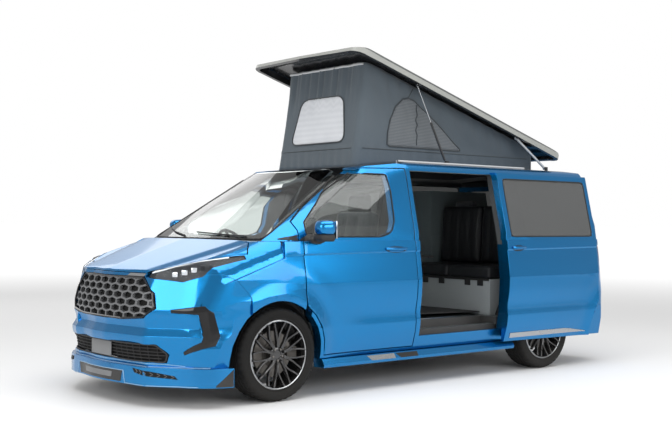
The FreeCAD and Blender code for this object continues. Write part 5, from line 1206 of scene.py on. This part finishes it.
# Rear details
# A bare plate block under a hooded handle, a high brake lamp and a wiper on the tailgate; a moulded
# tread, a valance and reflectors on the bumper.
tail_skin, rear_bumper = [panels["tailgate"], glazed["tailgate_glass"]], [panels["rear_bumper"]]
for name, top, base, half, coat, body, slot, surfaces, stand in (
        ("tail_plate_block", 0.945, 0.835, 0.26, grille_grey, "tailgate", "dark_plastic", tail_skin, 0.004),
        ("tail_handle_hood", 0.992, 0.958, 0.30, moulded_black, "tailgate", "dark_plastic", tail_skin, 0.008),
        ("high_brake_lamp", 1.787, 1.770, 0.13, tail_red, "tailgate", "red_lamp", tail_skin, 0.004),
        ("bumper_tread", 0.548, 0.498, 0.62, moulded_black, "body", "dark_plastic", rear_bumper, 0.002),
        ("bumper_valance", 0.352, 0.290, 0.70, moulded_black, "body", "dark_plastic", rear_bumper, 0.002)):
    across = evenly(-half, half, 2)
    ribbon(name, [(y, top) for y in across], [(y * 0.97, base) for y in across], surfaces,
           FROM_BEHIND, stand, 0.006, 0.06, coat, body, slot)
for side in (1, -1):
    ribbon(f"rear_reflector_{side}", [(0.60 * side, 0.436), (0.80 * side, 0.436)],
           [(0.60 * side, 0.410), (0.80 * side, 0.410)], rear_bumper, FROM_BEHIND, 0.002, 0.005, 0.04,
           tail_red, "body", "red_lamp")
wiper_run = laid(tail_skin, [(-0.02 + 0.05 * k, 1.262 + 0.022 * k) for k in range(9)], FROM_BEHIND, 0.012)
carry(strip("rear_wiper", wiper_run, 0.006, moulded_black), "tailgate", slot="dark_plastic")

# Inside trim
# The panels' inner faces carry grey lining, the roof a dark headlining, and the floor a hard-wearing
# dark vinyl with a bright edge at the step.
lining = woven("side_lining", (0.055, 0.060, 0.064), (0.085, 0.092, 0.097), 120.0, 0.9)
headlining = woven("headlining", (0.020, 0.022, 0.025), (0.034, 0.037, 0.041), 150.0, 0.95)
door_card = finish("door_card", (0.022, 0.023, 0.025), (0.034, 0.036, 0.039), 0.6,
                   grain=(350.0, 1.0), bump=0.3)
vinyl = finish("floor_vinyl", (0.046, 0.058, 0.062), (0.066, 0.080, 0.084), 0.42, coat=0.15,
               grain=(150.0, 1.0), bump=0.25, dust=(0.45, 0.55, 0.08))
underbody = finish("underbody", (0.035, 0.036, 0.038), (0.060, 0.060, 0.060), 0.65, metallic=0.3,
                   grain=(220.0, 1.0), bump=0.4, dust=(0.0, 0.8, 0.35))
cast_iron = finish("cast_iron", (0.075, 0.073, 0.070), (0.12, 0.11, 0.10), 0.6, metallic=0.7,
                   grain=(260.0, 1.0), bump=0.5, dust=(0.0, 0.8, 0.3))
cabinet_white = finish("cabinet_white", (0.40, 0.43, 0.44), (0.34, 0.37, 0.38), 0.38, coat=0.1,
                       grain=(500.0, 0.6), bump=0.08)
cabinet_grey = finish("cabinet_grey", (0.17, 0.21, 0.22), (0.13, 0.165, 0.17), 0.42, coat=0.1,
                      grain=(420.0, 0.8), bump=0.1)
black_hide = finish("black_hide", (0.012, 0.013, 0.015), (0.024, 0.026, 0.029), 0.4, 0.12, specular=DARK,
                    grain=(320.0, 1.0), bump=0.5, cloud=7.0)
# The inner faces of the bonnet, bumpers and splitter take the near-black finish as painted shade.
for name, outward, coat in (
        ("side_left", (0, 1, 0), lining), ("side_right", (0, -1, 0), lining),
        ("door_left", (0, 1, 0), door_card), ("door_right", (0, -1, 0), door_card),
        ("sliding_door", (0, 1, 0), lining), ("tailgate", (-1, 0, 0), lining),
        ("roof_panel", (0, 0, 1), headlining), ("bonnet", (0, 0, 1), black_plastic_and_painted_shade),
        ("front_bumper", (1, 0, 0), black_plastic_and_painted_shade), ("front_splitter", (0, 0, 1), black_plastic_and_painted_shade),
        ("rear_bumper", (-1, 0, 0), black_plastic_and_painted_shade)):
    panels[name].data.materials.append(coat)
    for face in panels[name].data.polygons:
        facing, (x, y, z) = face.normal.dot(Vector(outward)), face.center
        reveal = name.startswith("side") and abs(y) < 0.90 and -2.3 < x < 0.2 and facing < 0.3
        hatch = name == "roof_panel" and facing < 0.1 and abs(y) < 0.62 and x < 0.5
        if facing < -0.45 or reveal or hatch:
            face.material_index = 1

floor_made = carry(crisp(closed_copy("floor_pan", "floor_made"), 0.0), "body", underbody, "floor_pan")
floor_made.data.materials.append(vinyl)
for face in floor_made.data.polygons:
    face.material_index = int(face.normal.z > 0.3 and face.center.z > 0.32)
for node, body, coat, width in (
        ("bulkhead", "body", underbody, 0.0), ("wheel_houses", "body", moulded_black, 0.0),
        ("engine_block", "body", cast_iron, 0.006), ("front_subframe", "body", underbody, 0.0),
        ("rear_axle", "body", underbody, 0.002), ("knuckle_left", "knuckle_left", cast_iron, 0.0),
        ("knuckle_right", "knuckle_right", cast_iron, 0.0), ("dashboard", "body", door_card, 0.010),
        ("steering_wheel", "steering_wheel", black_hide, 0.002), ("bench_base", "body", cabinet_white, 0.002),
        ("kitchen_unit", "body", cabinet_grey, 0.002), ("rear_cupboard", "body", cabinet_grey, 0.002)):
    carry(crisp(closed_copy(node, node + "_made"), width), body, coat, node)

edge_spots = []
for x in evenly(-0.92, 0.01, 18):
    last = None
    for k in range(40):
        found = onto([floor_made], (x, 0.55 + 0.01 * k, 1.0), FROM_ABOVE)
        if found is None or found.z < 0.47:
            break
        last = found
    if last is not None:
        edge_spots.append(last + Vector((0, -0.004, 0.003)))
carry(strip("step_edge", edge_spots, 0.006, brushed), "body", slot="alloy")


# Seats and bench
# Upholstered blocks, each crowned and rounded like foam under a tight cover, with sewn channels on
# the faces that are sat on.
def cushion(name, start, end, radius, crown, axis, coat, node, channels=0, lean=0.0):
    """A foam cushion: a rounded block, crowned along one axis, with sewn channels and a lean in degrees."""
    made = cube(name, size=2)
    edit(made)
    bpy.ops.mesh.subdivide(number_cuts=23)
    close_edit()
    half = Vector([(b - a) / 2 for a, b in zip(start, end)])
    middle = Vector([(a + b) / 2 for a, b in zip(start, end)])
    turn = Matrix.Rotation(math.radians(lean), 3, "Y")
    others = [i for i in range(3) if i != axis]
    for vertex in made.data.vertices:
        unit = vertex.co.copy()
        p = Vector([unit[i] * half[i] for i in range(3)])
        inner = Vector([max(radius - half[i], min(half[i] - radius, p[i])) for i in range(3)])
        if (p - inner).length > 0.0001:
            p = inner + (p - inner).normalized() * radius
        swell = (1 - unit[others[0]] ** 2) * (1 - unit[others[1]] ** 2)
        p[axis] += crown * swell * (1 if unit[axis] > 0 else -0.15)
        if channels and unit[axis] > 0.8:
            groove = abs(math.sin(math.pi * channels * (unit.y + 1) / 2)) ** 0.35
            p[axis] -= 0.012 * (1 - groove) * smooth(1 - abs(unit[2 - axis]), 0.05, 0.25)
        for i in others:
            p[i] -= 0.004 * math.sin(9 * unit[i]) * swell
        vertex.co = middle + turn @ p
    only(made)
    bpy.ops.object.shade_smooth()
    carry(made, "body", coat, node)


X, Z = 0, 2
seat_cloth = woven("seat_cloth", (0.016, 0.020, 0.024), (0.036, 0.042, 0.048), 260.0, 0.9, sheen=0.4)
for k, (y0, y1) in enumerate(((-0.354, 0.184), (0.190, 0.727))):
    y = (y0 + y1) / 2
    cushion(f"bench_seat_{k}", (-1.640, y0, 0.834), (-1.072, y1, 0.948), 0.030, 0.014, Z, black_hide,
            "bench_cushions", 4)
    cushion(f"bench_back_{k}", (-1.655, y0 + 0.006, 0.955), (-1.535, y1 - 0.006, 1.520), 0.034, 0.016, X,
            black_hide, "bench_cushions", 4, lean=-4.0)
    cushion(f"bench_headrest_{k}", (-1.668, y - 0.125, 1.470), (-1.585, y + 0.125, 1.572), 0.032, 0.006, X,
            seat_cloth, "bench_cushions")
for tag, y in (("left", 0.435), ("right", -0.435)):
    cushion(f"cab_seat_{tag}", (0.350, y - 0.245, 0.800), (0.806, y + 0.245, 0.925), 0.050, 0.018, Z,
            seat_cloth, "front_seats", 3)
    cushion(f"cab_back_{tag}", (0.262, y - 0.235, 0.860), (0.390, y + 0.235, 1.440), 0.050, 0.020, X,
            seat_cloth, "front_seats", 3, lean=-7.0)
    cushion(f"cab_headrest_{tag}", (0.238, y - 0.130, 1.420), (0.315, y + 0.130, 1.592), 0.036, 0.008, X,
            black_hide, "front_seats")
    plinth = plate(f"cab_seat_base_{tag}", [(0.36, 0.502), (0.74, 0.502), (0.76, 0.78), (0.34, 0.80)],
                   0.36, "xz", y - 0.18, moulded_black, 0.015)
    carry(plinth, "body", node="front_seats")
for k, y in enumerate((-0.27, -0.10, 0.12, 0.46, 0.62)):
    latch = plate(f"bench_latch_{k}", oblong(y - 0.035, 0.766, y + 0.035, 0.826), 0.010, "yz", -1.072,
                  moulded_black, 0.003)
    carry(latch, "body", slot="dark_plastic")
carry(plate("bench_rail", oblong(-0.355, 0.815, 0.728, 0.834), 0.008, "yz", -1.072, moulded_black), "body",
      slot="dark_plastic")

# Cabinets
# Flat grey fronts with narrow gaps and finger catches, and a speckled worktop with a black glass hob.
FRONT_GAP, UNIT_WIDTH, CUPBOARD_WIDTH = 0.004, 0.464, 0.444
worktop_stone = finish("worktop_stone", (0.10, 0.105, 0.11), (0.24, 0.25, 0.26), 0.3, coat=0.3,
                       grain=(260.0, 1.0), bump=0.06, cloud=30.0)
fronts = []
for k in range(3):
    x0, x1 = -1.455 + UNIT_WIDTH * k, -1.455 + UNIT_WIDTH * (k + 1) - FRONT_GAP
    for z0, z1 in ((0.56, 0.80), (0.806, 0.972)):
        fronts.append(plate("unit_front", oblong(x0, z0, x1, z1), 0.008, "xz", -0.386, cabinet_grey, 0.0025))
        fronts.append(peg(((x0 + x1) / 2, -0.374, z1 - 0.035), 0.014, 0.012, 20, 0.002, brushed))
for k in range(2):
    x0, x1 = -2.352 + CUPBOARD_WIDTH * k, -2.352 + CUPBOARD_WIDTH * (k + 1) - FRONT_GAP
    fronts.append(plate("cupboard_front", oblong(x0, 0.53, x1, 1.21), 0.008, "xz", -0.428, cabinet_grey,
                        0.0025))
fronts += [
    plate("worktop", oblong(-1.458, -0.884, -0.062, -0.378), 0.022, "xy", 0.992, worktop_stone, 0.004),
    plate("hob", oblong(-0.62, -0.80, -0.16, -0.47), 0.006, "xy", 1.013, gloss_black, 0.002)]
carry(merge("cabinet_fronts", fronts), "body", slot="cabinet")
